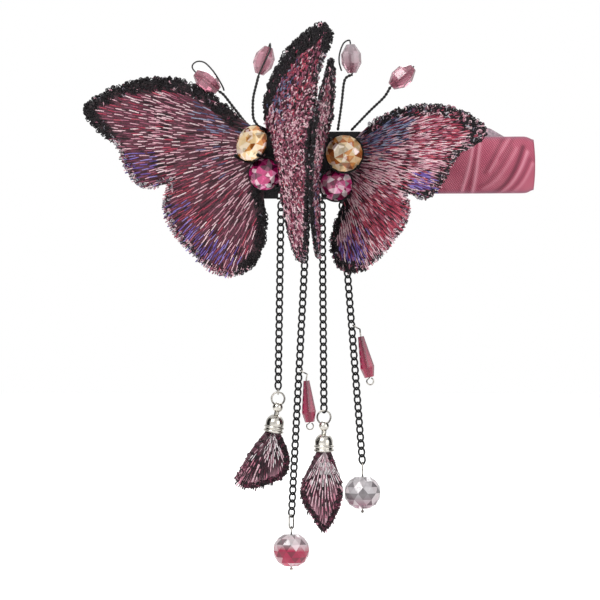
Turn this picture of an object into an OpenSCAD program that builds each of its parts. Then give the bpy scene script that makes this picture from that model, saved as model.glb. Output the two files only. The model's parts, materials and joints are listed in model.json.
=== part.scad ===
// Butterfly hair clip with four hanging chains. Millimetres.
// The origin is the middle of the clip's flat back, which lies on the head. +X runs to the thumb end,
// -Y to the viewer and +Z up.

/* [Clip] */
// Distance from the origin to the mouth of the clip
mouth_x = 31.3; // [28:0.1:40]
// Distance from the origin to the thumb end of the upper arm
tail_x = 43.2; // [41:0.1:56]
// Distance from the origin to the hinge pin
hinge_x = 30; // [27:0.1:32]
// Width of the upper arm
arm_w = 11; // [10.6:0.1:14]
// Thickness of the sheet metal of both arms
arm_t = 0.8; // [0.6:0.05:1]
// Height of the upper arm's deck above the flat back, at mid sheet
deck_h = 3.4; // [3.2:0.05:4.4]
// Diameter of the hinge pin
pin_d = 1.6; // [1.2:0.05:1.8]
// Diameter of the spring wire
spring_d = 0.6; // [0.4:0.05:0.7]
// Thickness of the ribbon layers
ribbon_t = 0.55; // [0.4:0.05:0.7]
// Widest the jaw opens, in degrees
jaw_open = 20; // [5:1:20]

/* [Pad] */
// Width of the black pad that carries the butterflies
pad_w = 24; // [22:0.1:29]
// Height of the pad
pad_h = 14.5; // [13:0.1:17.5]
// Thickness of the pad
pad_t = 1.3; // [1:0.05:1.4]

/* [Wings] */
// Size of the left butterfly's wings
left_scale = 1; // [0.8:0.01:1.05]
// Size of the right butterfly's wings
right_scale = 1; // [0.8:0.01:1.05]
// Thickness of the embroidered wings
wing_t = 0.7; // [0.5:0.05:0.8]

/* [Stones] */
// Diameter of the champagne stones
amber_d = 8; // [6.5:0.1:8]
// Diameter of the fuchsia stones
fuchsia_d = 7; // [5.8:0.1:7.1]
// Thickness of the claw cups' sheet
cup_t = 0.25; // [0.2:0.05:0.3]

/* [Antennae] */
// Thickness of the twisted black wire
feeler_d = 0.5; // [0.35:0.05:0.6]
// Diameter of the barrel beads
barrel_d = 4.3; // [3.5:0.1:4.4]
// Length of the barrel beads
barrel_l = 6.2; // [5:0.1:6.6]

/* [Chains] */
// Diameter of the chain's wire
wire_d = 0.42; // [0.35:0.01:0.44]
// Outside width of a link
link_w = 1.7; // [1.6:0.01:1.8]
// Distance from one link to the next
pitch = 1.62; // [1.55:0.01:1.7]
// Diameter of the wire of the top rings and of the silver rings
ring_wire = 0.4; // [0.3:0.01:0.44]

/* [Pendants] */
// Diameter of the faceted round beads
rondelle_d = 8; // [6.5:0.1:8]
// Height of the faceted round beads
rondelle_h = 6.8; // [5.5:0.1:7.2]
// Largest diameter of the drop beads
drop_d = 3.1; // [2.6:0.1:3.2]
// Length of the drop beads
drop_l = 9; // [7.4:0.1:9.4]
// Diameter of the tassel caps at the rim
cap_d = 4.5; // [3.8:0.1:4.7]
// Thickness of the organza petals
petal_t = 0.5; // [0.4:0.05:0.6]

/* [Hidden] */
$fn = 32;

// Colours
BLACK = "#1b1a1c";
SILVER = "#d5d2cc";
STEEL = "#b9bbbf";
ROSE = "#c05a75";
WING = "#a8546a";
AMBER = "#e3bf86";
FUCHSIA = "#b0235f";
MAUVE = "#c99aa6";
CRIMSON = "#9c2445";
PLUM = "#6d2741";

// Running clearances
gap = 0.1;
loose = 0.2;

// Clip, side view: the pin, the coil around it, and the height of the upper arm along X
lower_w = arm_w - 1;
coil_in = pin_d / 2 + 0.3;
coil_r = coil_in + spring_d / 2;
coil_out = coil_in + spring_d;
pin_y = -(arm_t + coil_out + loose);
deck_x0 = -17;
deck_x1 = 12;
tail_rise = 1.9;
lip = 4.5;
ARM = [[-mouth_x, arm_t * 1.5 + gap],
       [-mouth_x + lip, arm_t * 1.5 + gap + 0.2],
       [deck_x0, deck_h],
       [deck_x1, deck_h],
       [hinge_x, -pin_y + coil_out + gap + arm_t / 2],
       [tail_x, -pin_y + coil_out + gap + arm_t / 2 + tail_rise]];
function arm_h(x) = lookup(x, ARM);
ribbon_x0 = -20;
ribbon_w = arm_w + 2 * (gap + ribbon_t);
ribbon_half = arm_t / 2 + gap + ribbon_t;
window_x0 = 17.5;
window_x1 = hinge_x + 4.5;
leg_reach = 10;
coil_turns = 5;
ear_t = 0.8;
ear_r = 1.6;
ear_out = arm_w / 2 - 0.3;
ear_in = ear_out - ear_t - loose;
lower_tail_x = hinge_x + 11;

// Pad: its top edge stands above the clip, its bottom edge carries the rings
pad_x = -4.2;
pad_z = 0;
pad_y0 = -(deck_h + ribbon_half);
pad_front = pad_y0 - pad_t;
pad_y = pad_y0 - pad_t / 2;
pad_bottom = pad_z - pad_h / 2;

// Rings round the bars that bridge four notches in the pad's bottom edge
bar_d = 0.5;
bar_drop = 0.05;
notch_w = 1.2;
notch_h = 1.6;
ring_r = bar_d / 2 + wire_d + 0.17 + ring_wire / 2;
ring_z = pad_bottom + bar_drop;

// Links: two half rings joined by straight sides
bend_r = (link_w - wire_d) / 2;
nest = 2 * bend_r - wire_d - 0.08;
side_l = pitch - nest;
half_link = side_l / 2 + bend_r;
chain_z0 = ring_z - ring_r;
first_z = -(half_link - ring_wire / 2 - wire_d / 2 - 0.08);

// Chains: place along X, lean of the hanging line, and number of links
CHAIN_X = [-10.6, -4.8, -1.7, 2.6];
CHAIN_LEAN = [0.9, 3, -0.5, -4.5];
CHAIN_N = [25, 42, 28, 35];
last_upper = 11;
last_middle = 19;

// Side eyes for the drops: the link each hangs in
drop_link_2 = 23;
drop_link_4 = 17;

// Wings: root point, the direction out along the wing, the direction up, and the curl
wing_y = pad_front - wing_t / 2 - loose;
function unit(v) = v / norm(v);
function frame(u, v) = let (a = unit(u), b = unit(v - (v * a) * a)) [a, b, cross(a, b)];
LEFT_OUTER = [[-14.7, wing_y, 3.2], frame([-1, 0.066, 0], [0, 0, 1]), [-0.15, 0.02, 0.06], left_scale];
LEFT_INNER = [[-13.4, wing_y, 2.4], frame([0.261, -0.89, 0.372], [-0.249, 0.311, 0.917]),
              [-0.24, -0.53, 0.02], left_scale];
RIGHT_INNER = [[-1.3, wing_y, -0.8], frame([-0.12, -0.875, 0.468], [0.181, 0.444, 0.877]),
               [-0.31, -0.12, -0.63], right_scale];
RIGHT_OUTER = [[4, wing_y, 0], frame([0.673, -0.739, 0.025], [0.157, 0.176, 0.972]),
               [-0.73, 0.38, 0.02], right_scale];
// Outlines as distances out along the wing and up from its root
LEFT_OUTER_LINE = [[0, 3.5], [5.5, 7], [11, 11.5], [17, 14.5], [23, 15], [29.5, 14], [35, 11.5],
                   [38, 8.5], [35, 4.5], [31, 1], [29.5, -3], [27, -7], [23.5, -8], [20, -6.5],
                   [21, -12], [19, -17.5], [15, -22], [9.5, -26.5], [4, -26], [0.5, -21.5],
                   [-0.5, -15], [1, -9], [0, -3]];
LEFT_INNER_LINE = [[3, 6], [5.5, 9.5], [10.5, 11.5], [17, 13], [24, 13.5], [30.5, 13], [36, 11.5],
                   [39, 8], [36.5, 5.5], [32.5, 3], [30.5, -0.5], [27.5, -5.5], [24, -8], [20, -7],
                   [21, -12.5], [19, -18], [15, -23], [10, -27], [4.5, -27], [0.5, -23], [0.5, -17],
                   [2, -11], [5, -5]];
RIGHT_INNER_LINE = [[5, 5.5], [6.5, 8.5], [9.5, 9], [13, 10], [17, 11], [21.5, 10.5], [27, 9],
                    [31.5, 7.5], [32, 5.5], [31, 3], [31, 0], [29, -4.5], [25.5, -6.5], [21, -7],
                    [20.5, -12.5], [17.5, -18], [13, -22], [8, -24.5], [3, -23], [-0.5, -18.5],
                    [-1, -13], [1.5, -8.5], [5, -4]];
RIGHT_OUTER_LINE = [[5, 5.5], [6, 8.5], [10, 10.5], [14, 11.5], [19, 12], [25, 11.5], [30, 9.5],
                    [32.5, 7], [30, 4], [27, 1.5], [25.5, -1.5], [23.5, -5.5], [20.5, -7.5],
                    [16.5, -6], [17.5, -10], [16.5, -14], [13, -19], [8.5, -23], [3, -23],
                    [-0.5, -19], [-1, -14.5], [1.5, -9.5], [4.5, -4]];

// Stones: middle of the girdle, the way each faces, and the height that its claw cup's peg stands on
crown = 0.2;
pavilion = 0.36;
AMBER_L = [[-16.9, -10.9, 4.4], [-0.56, -0.8, 0.22], wing_y - wing_t / 2];
FUCHSIA_L = [[-14.1, -9.7, -2.15], [-0.15, -0.98, -0.12], pad_front];
AMBER_R = [[2.96, -11.6, 2.2], [0, -1, 0.05], pad_front];
FUCHSIA_R = [[1.3, -9.7, -4.4], [0, -1, -0.05], pad_front];

// Antennae: the wire's foot and stem, then its return past the bead, then the bead's middle and axis
feeler_y = pad_y;
foot_z = pad_z + pad_h / 2 + 0.3;
STEM_1 = [[-15.7, 0, foot_z], [-18, 0, 9], [-20.4, -0.2, 11.9], [-22.9, -0.3, 15.1]];
LOOP_1 = [[-29.8, -0.3, 21.5], [-28.8, -0.4, 22.4], [-27.2, -0.6, 22.2], [-25.6, -1.2, 20.7],
          [-24.4, -1.9, 19], [-23.3, -2, 17.1], [-22.9, -1.3, 16.1]];
STEM_2 = [[-14.6, 0, foot_z], [-16.4, 0, 9.7], [-16.7, -0.2, 12], [-16.6, -0.3, 14.6], [-16, -0.4, 17.2]];
LOOP_2 = [[-12.9, -1.2, 26.1], [-13, -2.6, 24.6], [-14, -3, 22.4], [-15.2, -2.5, 19.8], [-15.8, -1.4, 18.4]];
STEM_3 = [[1.7, 0, foot_z], [2.5, -0.2, 13.2], [3, -0.4, 17.6], [3.6, -0.4, 19]];
LOOP_3 = [[4, -0.5, 27], [2.9, -0.4, 26.3], [2.1, -0.3, 24.2], [2, -0.3, 22.2], [2.5, -0.3, 20.4]];
STEM_4 = [[4.6, 0, foot_z], [8.6, -0.2, 11.7], [11.7, -0.3, 14.7]];
BEAD_1 = [[-26.6, feeler_y - 0.2, 18.1], [-0.772, 0, 0.635]];
BEAD_2 = [[-14.3, feeler_y - 0.4, 22.6], [0.33, 0, 0.94]];
BEAD_3 = [[4.6, feeler_y - 0.4, 23], [-0.06, 0, 1]];
BEAD_4 = [[15.6, feeler_y - 0.4, 19.1], [0.75, 0, 0.66]];

// Tassels: middle of each ring, and the tilt of what hangs from it
tassel_ring_r = 1.4;
tassel_ring_r3 = 1.45;
TILT_1 = 10;
TILT_3 = 0;
knob_r = 1.15;
knob_drop = 0.05;
dome_r = cap_d / 2 - 0.25;
petal_y = 0.5;
PETAL_1 = [[-1.2, 0.9], [-1.4, -0.3], [-2.5, -1.7], [-4.2, -5], [-5.6, -9], [-6.2, -11.3], [-4.6, -12.6], [-1.8, -12.4],
           [1.2, -10.9], [3.7, -9], [4.5, -6.2], [3.5, -3.2], [2.3, -1.4], [1.4, -0.3], [1.2, 0.9]];
PETAL_3 = [[-1.2, 0.9], [-1.4, -0.3], [-2.2, -1.5], [-3.3, -3.8], [-4.6, -6.4], [-4.9, -9], [-3.8, -12], [-2, -14.8],
           [-0.3, -16.9], [1.4, -15.6], [2.9, -12.8], [3.8, -9.8], [3.8, -7], [3, -4.2],
           [2, -1.5], [1.4, -0.3], [1.2, 0.9]];

// --- Curves and shared shapes ---

function at(i, j, pts) = pts[min(max(i + j, 0), len(pts) - 1)];
function smooth(pts, i, t) =
    let (a = at(i, -1, pts), b = pts[i], c = at(i, 1, pts), d = at(i, 2, pts))
    0.5 * (2 * b + (c - a) * t + (2 * a - 5 * b + 4 * c - d) * t * t + (3 * b - a - 3 * c + d) * t * t * t);
// A smooth line through the inner points of an outline, with per samples between neighbours
function rim(line, per) =
    let (pts = [for (i = [1:len(line) - 2]) line[i]])
    concat([for (i = [0:len(pts) - 2]) for (k = [0:per - 1]) smooth(pts, i, k / per)], [pts[len(pts) - 1]]);

// A curved sheet of even thickness: straight rays run from the root edge to the smooth rim
module sheet(place, line, t, per = 2, rays = 4) {
    f = place[1];
    c = place[2];
    out = rim(line * place[3], per);
    m = len(out) - 1;
    a = line[0] * place[3];
    b = line[len(line) - 1] * place[3];
    function base(i) = a + (b - a) * i / m;
    function on(q, h) = place[0] + f[0] * q[0] + f[1] * q[1]
        + f[2] * ((c[0] * q[0] * q[0] + c[1] * q[0] * q[1] + c[2] * q[1] * q[1]) / 100 + h);
    pts = [for (s = [0.5, -0.5]) for (i = [0:m]) for (k = [0:rays])
               on(base(i) + (out[i] - base(i)) * k / rays, s * t)];
    n = (m + 1) * (rays + 1);
    function id(s, i, k) = s * n + i * (rays + 1) + k;
    faces = [
        for (i = [0:m - 1]) for (k = [0:rays - 1]) each [
            [id(0, i, k), id(0, i + 1, k), id(0, i + 1, k + 1)],
            [id(0, i, k), id(0, i + 1, k + 1), id(0, i, k + 1)],
            [id(1, i, k), id(1, i + 1, k + 1), id(1, i + 1, k)],
            [id(1, i, k), id(1, i, k + 1), id(1, i + 1, k + 1)]],
        for (i = [0:m - 1]) each [
            [id(0, i, rays), id(0, i + 1, rays), id(1, i + 1, rays)],
            [id(0, i, rays), id(1, i + 1, rays), id(1, i, rays)],
            [id(0, i, 0), id(1, i + 1, 0), id(0, i + 1, 0)],
            [id(0, i, 0), id(1, i, 0), id(1, i + 1, 0)]],
        for (k = [0:rays - 1]) each [
            [id(0, 0, k), id(0, 0, k + 1), id(1, 0, k + 1)],
            [id(0, 0, k), id(1, 0, k + 1), id(1, 0, k)],
            [id(0, m, k), id(1, m, k + 1), id(0, m, k + 1)],
            [id(0, m, k), id(1, m, k), id(1, m, k + 1)]]];
    polyhedron(pts, [for (i = [len(faces) - 1:-1:0]) faces[i]]);
}

// Turns +Z to a direction and moves it to a place
module aim(place) {
    d = unit(place[1]);
    translate(place[0]) rotate([0, acos(d[2]), atan2(d[1], d[0])]) children();
}

// A round wire swept along a list of points, whose section is carried along without twisting
function tangent(p, i) = unit(at(i, 1, p) - at(i, -1, p));
function across(n, t) = unit(n - (n * t) * t);
function sections(p, i, n) = i >= len(p) ? []
    : let (t = tangent(p, i), m = across(n, t)) concat([[m, cross(t, m)]], sections(p, i + 1, m));
module tube(p, d, sides = 8) {
    n = len(p);
    f = sections(p, 0, abs(tangent(p, 0)[1]) < 0.9 ? [0, 1, 0] : [1, 0, 0]);
    pts = [for (i = [0:n - 1]) for (k = [0:sides - 1])
               p[i] + d / 2 * (f[i][0] * cos(360 * k / sides) + f[i][1] * sin(360 * k / sides))];
    faces = [[for (k = [0:sides - 1]) k],
             [for (k = [0:sides - 1]) (n - 1) * sides + sides - 1 - k],
             for (i = [0:n - 2]) for (k = [0:sides - 1]) each
                 let (a = i * sides + k, b = i * sides + (k + 1) % sides)
                 [[a, a + sides, b + sides], [a, b + sides, b]]];
    polyhedron(pts, faces);
}

// A ring of wire in the XY plane
module ring(r, d) {
    rotate_extrude() translate([r, 0]) circle(d = d, $fn = 16);
}

// An oval link in the XZ plane, its middle at the origin
module oval_link(r, side, d) {
    for (s = [1, -1]) {
        translate([0, 0, s * side / 2]) rotate([90 * s, 0, 0])
            rotate_extrude(angle = 180) translate([r, 0]) circle(d = d, $fn = 16);
        translate([s * r, 0, -side / 2]) cylinder(h = side, d = d, $fn = 16);
    }
}

// --- Clip ---

// The side view of a strip that follows the upper arm from x0 to x1
module arm_band(x0, x1, half) {
    xs = concat([x0], [for (p = ARM) if (p[0] > x0 && p[0] < x1) p[0]], [x1]);
    n = len(xs);
    polygon(concat([for (x = xs) [x, -arm_h(x) - half]],
                   [for (i = [0:n - 1]) [xs[n - 1 - i], -arm_h(xs[n - 1 - i]) + half]]));
}

// The space behind the upper arm from x0 to x1, for the hinge and its spring
module behind_arm(x0, x1) {
    polygon([[x0, -arm_h(x0) + arm_t / 2], [hinge_x, -arm_h(hinge_x) + arm_t / 2],
             [x1, -arm_h(x1) + arm_t / 2], [x1, 0], [x0, 0]]);
}

module slab(w) {
    translate([0, 0, -w / 2]) linear_extrude(w) children();
}

module ears(z0, y0, y1, bore) {
    difference() {
        for (s = [1, -1]) translate([hinge_x, 0, s * (z0 + ear_t / 2)]) {
            translate([0, pin_y, 0]) cylinder(h = ear_t, r = ear_r, center = true);
            translate([-ear_r, min(y0, y1), -ear_t / 2]) cube([2 * ear_r, abs(y1 - y0), ear_t]);
        }
        translate([hinge_x, pin_y, 0]) cylinder(h = arm_w + 4, d = bore, center = true);
    }
}

module lower_arm() {
    ridge = 0.5;
    color(STEEL) {
        difference() {
            union() {
                translate([-mouth_x + 1, -arm_t, -lower_w / 2])
                    cube([mouth_x - 1 + lower_tail_x, arm_t, lower_w]);
                for (i = [0:5])
                    translate([-25 + i * 3, -arm_t, 0]) cylinder(h = lower_w - 1, d = ridge, center = true);
            }
            for (s = [1, -1]) translate([-mouth_x + 1, 0, s * lower_w / 2])
                rotate([90, 0, 0]) cylinder(h = 3, r = 1.4, center = true, $fn = 4);
        }
        ears(ear_in - ear_t, -arm_t / 2, pin_y, pin_d + loose);
    }
}

module upper_arm() {
    plate = -arm_h(hinge_x);
    color(STEEL) {
        slab(arm_w) arm_band(-mouth_x, tail_x, arm_t / 2);
        ears(ear_out - ear_t, plate, pin_y, pin_d + gap);
    }
}

module hinge_pin() {
    head = 0.35;
    color(STEEL) translate([hinge_x, pin_y, 0]) {
        cylinder(h = 2 * ear_out + 2 * gap, d = pin_d, center = true);
        for (s = [1, -1])
            translate([0, 0, s * (ear_out + 0.05 + head / 2)]) cylinder(h = head, d = pin_d + 0.7, center = true);
    }
}

function coil(from, to, z, rise) =
    [for (a = [from:30:to]) [hinge_x + coil_r * cos(a), pin_y + coil_r * sin(a), z - rise * (a - from) / 360]];
coil_top = coil_turns / 2 * spring_d;
coil_pitch = spring_d + 0.03;

module torsion_spring() {
    foot_x = hinge_x - leg_reach;
    foot = [foot_x, -arm_h(foot_x) + arm_t / 2 + spring_d / 2 + gap, coil_top];
    color(STEEL) tube(concat([foot], coil(-90, coil_turns * 360 - 120, coil_top, coil_pitch)), spring_d);
}

module spring_lower_leg() {
    z = coil_top - coil_turns * coil_pitch - spring_d;
    foot = [hinge_x - leg_reach, -arm_t - spring_d / 2 - gap / 2, z];
    color(STEEL) tube(concat(coil(-120, 90, z, 0), [foot]), spring_d);
}

module ribbon_wrap() {
    end = 0.7;
    color(ROSE) difference() {
        slab(ribbon_w) arm_band(ribbon_x0, tail_x + end, ribbon_half);
        slab(arm_w + 2 * gap) arm_band(ribbon_x0 - 1, tail_x + gap, arm_t / 2 + gap);
        slab(arm_w) behind_arm(window_x0, window_x1);
    }
}

// --- Pad and top rings ---

module rounded(w, h, r) {
    square([w - 2 * r, h], center = true);
    square([w, h - 2 * r], center = true);
    for (x = [-1, 1], y = [-1, 1]) translate([x * (w / 2 - r), y * (h / 2 - r)]) circle(r);
}

module backing_pad() {
    color(BLACK) {
        difference() {
            translate([pad_x, pad_y0, pad_z]) rotate([90, 0, 0]) linear_extrude(pad_t) rounded(pad_w, pad_h, 1.5);
            for (x = CHAIN_X) translate([x - notch_w / 2, pad_front - 1, pad_bottom - 1])
                cube([notch_w, pad_t + 2, notch_h + 1]);
        }
        for (x = CHAIN_X) translate([x, pad_y, ring_z])
            rotate([0, 90, 0]) cylinder(h = notch_w + 0.6, d = bar_d, center = true);
    }
}

module top_ring(i) {
    color(BLACK) translate([CHAIN_X[i], pad_y, ring_z]) rotate([0, 90, 0]) ring(ring_r, ring_wire);
}

// --- Chains ---

// The line that chain i hangs along: x grows across, z down from the top ring's lower wire
module hang(i) {
    translate([CHAIN_X[i], pad_y, chain_z0]) rotate([0, CHAIN_LEAN[i], 0]) children();
}

module links(i, from, to) {
    color(BLACK) hang(i) for (k = [from:to])
        translate([0, 0, first_z - (k - 1) * pitch]) rotate([0, 0, k % 2 == 1 ? 0 : 90])
            oval_link(bend_r, side_l, wire_d);
}

module chain_upper(i) { links(i, 1, last_upper); }
module chain_middle(i) { links(i, last_upper + 1, last_middle); }
module chain_lower(i) { links(i, last_middle + 1, CHAIN_N[i]); }

// Lower wire of the last link, along the chain's own line
function end_d(i) = -first_z + (CHAIN_N[i] - 1) * pitch + half_link;
function chain_end(i) = [CHAIN_X[i] - end_d(i) * sin(CHAIN_LEAN[i]), pad_y, chain_z0 - end_d(i) * cos(CHAIN_LEAN[i])];
function link_mid(i, k) =
    let (d = -first_z + (k - 1) * pitch)
    [CHAIN_X[i] - d * sin(CHAIN_LEAN[i]), pad_y, chain_z0 - d * cos(CHAIN_LEAN[i])];
// Steps down from one hooked wire to the next
function hook(a, b) = (a + b) / 2 + 0.06;

// --- Wings ---

module left_outer_wing() { color(WING) sheet(LEFT_OUTER, LEFT_OUTER_LINE, wing_t); }
module left_inner_wing() { color(WING) sheet(LEFT_INNER, LEFT_INNER_LINE, wing_t); }
module right_inner_wing() { color(WING) sheet(RIGHT_INNER, RIGHT_INNER_LINE, wing_t); }
module right_outer_wing() { color(WING) sheet(RIGHT_OUTER, RIGHT_OUTER_LINE, wing_t); }

// --- Stones in claw cups ---

module stone(place, d, tint) {
    r = d / 2 - 0.05;
    girdle = 0.03 * d;
    color(tint) aim(place) rotate_extrude($fn = 12)
        polygon([[0, -pavilion * d], [r, -girdle], [r, girdle], [0.58 * r, crown * d], [0, crown * d]]);
}

module claw(place, d) {
    r = d / 2;
    depth = pavilion * d + cup_t + gap;
    rim_z = -0.04 * d;
    foot_r = 0.09 * d;
    prong = 0.6;
    n = unit(place[1]);
    tip = place[0] - depth * n;
    tilt_drop = foot_r * norm([n[0], n[2]]) / abs(n[1]);
    peg = max((place[2] - gap - tip[1]) / abs(n[1]) - tilt_drop, 0.01);
    color(BLACK) aim(place) {
        difference() {
            union() {
                translate([0, 0, -depth]) cylinder(h = depth + rim_z, r1 = foot_r + cup_t, r2 = r + cup_t + 0.03);
                translate([0, 0, -depth - peg]) cylinder(h = peg + 0.1, r = foot_r);
            }
            translate([0, 0, -depth + cup_t])
                cylinder(h = depth + rim_z - cup_t, r1 = foot_r, r2 = r + 0.03);
            translate([0, 0, rim_z - 0.001]) cylinder(h = 1, r = r + 0.03);
        }
        for (a = [45:90:315]) rotate([0, 0, a]) {
            translate([r + prong / 2 + 0.03, 0, -0.1 * d]) cylinder(h = 0.21 * d, d = prong);
            translate([r + 0.17, 0, 0.13 * d]) sphere(d = 0.85);
        }
    }
}

// --- Antennae ---

function moved(pts) = [for (p = pts) p + [0, feeler_y, 0]];

// One wire: up the stem, straight through the bead, and back past it where it is looped
module antenna_wire(stem, loop, bead) {
    reach = unit(bead[1]) * (barrel_l / 2 + 0.35);
    color(BLACK) tube(concat(moved(stem), [bead[0] - reach, bead[0] + reach], moved(loop)), feeler_d);
}

module antenna_bead(place) {
    color(MAUVE) aim(place) difference() {
        rotate_extrude($fn = 8) polygon([[0, -barrel_l / 2], [0.22 * barrel_d, -barrel_l / 2],
            [barrel_d / 2, -0.17 * barrel_l], [barrel_d / 2, 0.17 * barrel_l],
            [0.22 * barrel_d, barrel_l / 2], [0, barrel_l / 2]]);
        cylinder(h = barrel_l + 2, d = feeler_d + loose, center = true);
    }
}

// --- Tassels ---

small_r = 0.5;
small_side = 0.3;
small_wire = 0.35;
ring_1 = chain_end(0) - [0, 0, 2 * small_r + small_side - hook(wire_d, small_wire)
    - hook(small_wire, ring_wire) + tassel_ring_r];
ring_3 = chain_end(2) - [0, 0, tassel_ring_r3 - hook(wire_d, ring_wire)];

module tassel_ring_1() {
    color(SILVER) {
        translate(chain_end(0) + [0, 0, hook(wire_d, small_wire) - small_r - small_side / 2])
            rotate([0, 0, 90]) oval_link(small_r, small_side, small_wire);
        translate(ring_1) rotate([90, 0, 0]) ring(tassel_ring_r, ring_wire);
    }
}

module tassel_ring_3() {
    color(SILVER) translate(ring_3) rotate([90, 0, 0]) ring(tassel_ring_r3, ring_wire);
}

// The cap hangs by its knob, whose cross bore is curved like the ring that passes through it
module hang_tassel(mid, r, tilt) {
    translate(mid - [0, 0, r]) rotate([0, tilt, 0]) children();
}
bore_d = ring_wire + 0.5;
knob_z = -(knob_r - bore_d / 2 - 0.25);
dome_top = knob_z - knob_r - 0.2;
dome_h = 2.2;
rim_h = 2;
cap_bottom = dome_top - dome_h - rim_h;

module tassel_cap(mid, r, tilt) {
    wall = 0.3;
    color(SILVER) hang_tassel(mid, r, tilt) difference() {
        union() {
            translate([0, 0, knob_z]) sphere(knob_r);
            translate([0, 0, dome_top - 0.6]) cylinder(h = 1.4, r = 0.55);
            translate([0, 0, dome_top - dome_h]) intersection() {
                sphere(dome_r);
                translate([0, 0, dome_h / 2]) cube([9, 9, dome_h], center = true);
            }
            translate([0, 0, cap_bottom]) cylinder(h = rim_h + 0.01, r = dome_r);
            for (z = [0.3, 1.15]) translate([0, 0, cap_bottom + z])
                rotate_extrude() translate([cap_d / 2 - 0.3, 0]) circle(d = 0.55, $fn = 16);
        }
        translate([0, 0, r]) rotate([90, 0, 0]) ring(r, bore_d);
        translate([0, 0, cap_bottom - 0.5]) cylinder(h = rim_h + 0.5, r = dome_r - wall);
    }
}

module petal(mid, r, tilt, line, side) {
    place = [[0, side * petal_y, cap_bottom + 0.1], frame([1, 0, 0], [0, 0, 1]),
             [side * 2.4, 0, side * -1.1], 1];
    color(PLUM) hang_tassel(mid, r, tilt) sheet(place, line, petal_t, 2, 3);
}

// --- Round beads ---

eye_r = 0.75;
long_r = 0.45;
long_side = 2;
link_2_mid = chain_end(1) - [0, 0, long_side / 2 + long_r - hook(wire_d, small_wire)];
hinge_2 = link_2_mid - [0, 0, long_side / 2 + long_r];
bead_2_mid = hinge_2 + [0, 0, hook(small_wire, small_wire) - 2 * eye_r - 0.2 - rondelle_h / 2];
link_4_mid = chain_end(3) - [0, 0, long_side / 2 + long_r - hook(wire_d, small_wire)];
bead_4_mid = link_4_mid - [0, 0, long_side / 2 + long_r + 0.25 + rondelle_h / 2];

module round_pin(top) {
    tail = 0.7;
    translate([0, 0, -rondelle_h / 2 - tail]) cylinder(h = rondelle_h + tail + top, d = small_wire);
    translate([0, 0, -rondelle_h / 2 - tail]) sphere(d = 2 * small_wire);
}

module bead_link_2() {
    color(SILVER) translate(link_2_mid) oval_link(long_r, long_side, small_wire);
}

module bead_link_4() {
    color(SILVER) {
        translate(link_4_mid) rotate([0, 0, 90]) oval_link(long_r, long_side, small_wire);
        translate(bead_4_mid) round_pin(0.3);
    }
}

module bead_pin_2() {
    color(SILVER) {
        translate(hinge_2 + [0, 0, hook(small_wire, small_wire) - eye_r]) rotate([0, 90, 0]) ring(eye_r, small_wire);
        translate(bead_2_mid) round_pin(0.2);
    }
}

module rondelle(mid) {
    r = rondelle_d / 2;
    h = rondelle_h / 2;
    color(MAUVE) translate(mid) difference() {
        rotate_extrude($fn = 12) polygon([[0, -h], [0.42 * r, -h], [0.86 * r, -0.52 * h], [r, -0.1 * h],
            [r, 0.1 * h], [0.86 * r, 0.52 * h], [0.42 * r, h], [0, h]]);
        cylinder(h = rondelle_h + 2, d = small_wire + loose, center = true);
    }
}

// --- Drops ---

side_tilt = 30;
side_eye_r = 0.75;
side_wire = 0.32;
side_off = 0.25;
end_eye_r = 0.75;
function side_eye(i, k) = link_mid(i, k) + [bend_r + side_off, 0, -side_eye_r * sin(side_tilt)];
function side_out(i, k) = side_eye(i, k) + side_eye_r * [cos(side_tilt), 0, -sin(side_tilt)];
DROP_AXIS_2 = [-0.08, 0, 1];
DROP_AXIS_4 = [-0.21, 0, 1];
drop_top_2 = side_out(1, drop_link_2) + [0.05, 0, -1.5];
drop_top_4 = side_out(3, drop_link_4) + [0.45, 0, -1.7];

// One bent wire: an eye round the link's side, straight down through the bead, and an eye below it
module drop_pin(i, k, top, axis) {
    a = unit(axis);
    low = top - a * (drop_l + 0.15);
    side = [cos(side_tilt), 0, -sin(side_tilt)];
    side_mid = side_eye(i, k);
    low_mid = low - a * end_eye_r;
    eye = [for (t = [30:30:330]) side_mid + side_eye_r * (cos(t) * side + sin(t) * [0, 1, 0])];
    end_eye = [for (t = [60:30:330]) low_mid + end_eye_r * (cos(t) * a + sin(t) * cross(a, [0, 1, 0]))];
    color(SILVER) tube(concat(eye, [side_out(i, k) + [0.25, 0, -0.1], top + a * 0.3, low], end_eye),
                       side_wire);
}

module drop(top, axis) {
    a = unit(axis);
    r = drop_d / 2;
    color(CRIMSON) aim([top, -a]) difference() {
        rotate_extrude($fn = 8) polygon([[0, 0], [0.42 * r, 0], [r, 0.76 * drop_l], [0.66 * r, drop_l], [0, drop_l]]);
        translate([0, 0, -1]) cylinder(h = drop_l + 2, d = side_wire + loose);
    }
}

lower_arm();
upper_arm();
hinge_pin();
torsion_spring();
spring_lower_leg();
ribbon_wrap();
backing_pad();
left_outer_wing();
left_inner_wing();
right_inner_wing();
right_outer_wing();
stone(AMBER_L, amber_d, AMBER);  // left_amber_stone
stone(FUCHSIA_L, fuchsia_d, FUCHSIA);  // left_fuchsia_stone
stone(AMBER_R, amber_d, AMBER);  // right_amber_stone
stone(FUCHSIA_R, fuchsia_d, FUCHSIA);  // right_fuchsia_stone
claw(AMBER_L, amber_d);  // left_amber_claw
claw(FUCHSIA_L, fuchsia_d);  // left_fuchsia_claw
claw(AMBER_R, amber_d);  // right_amber_claw
claw(FUCHSIA_R, fuchsia_d);  // right_fuchsia_claw
antenna_wire(STEM_1, LOOP_1, BEAD_1);  // antenna_wire_1
antenna_wire(STEM_2, LOOP_2, BEAD_2);  // antenna_wire_2
antenna_wire(STEM_3, LOOP_3, BEAD_3);  // antenna_wire_3
antenna_wire(STEM_4, [], BEAD_4);  // antenna_wire_4
antenna_bead(BEAD_1);  // antenna_bead_1
antenna_bead(BEAD_2);  // antenna_bead_2
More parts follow.
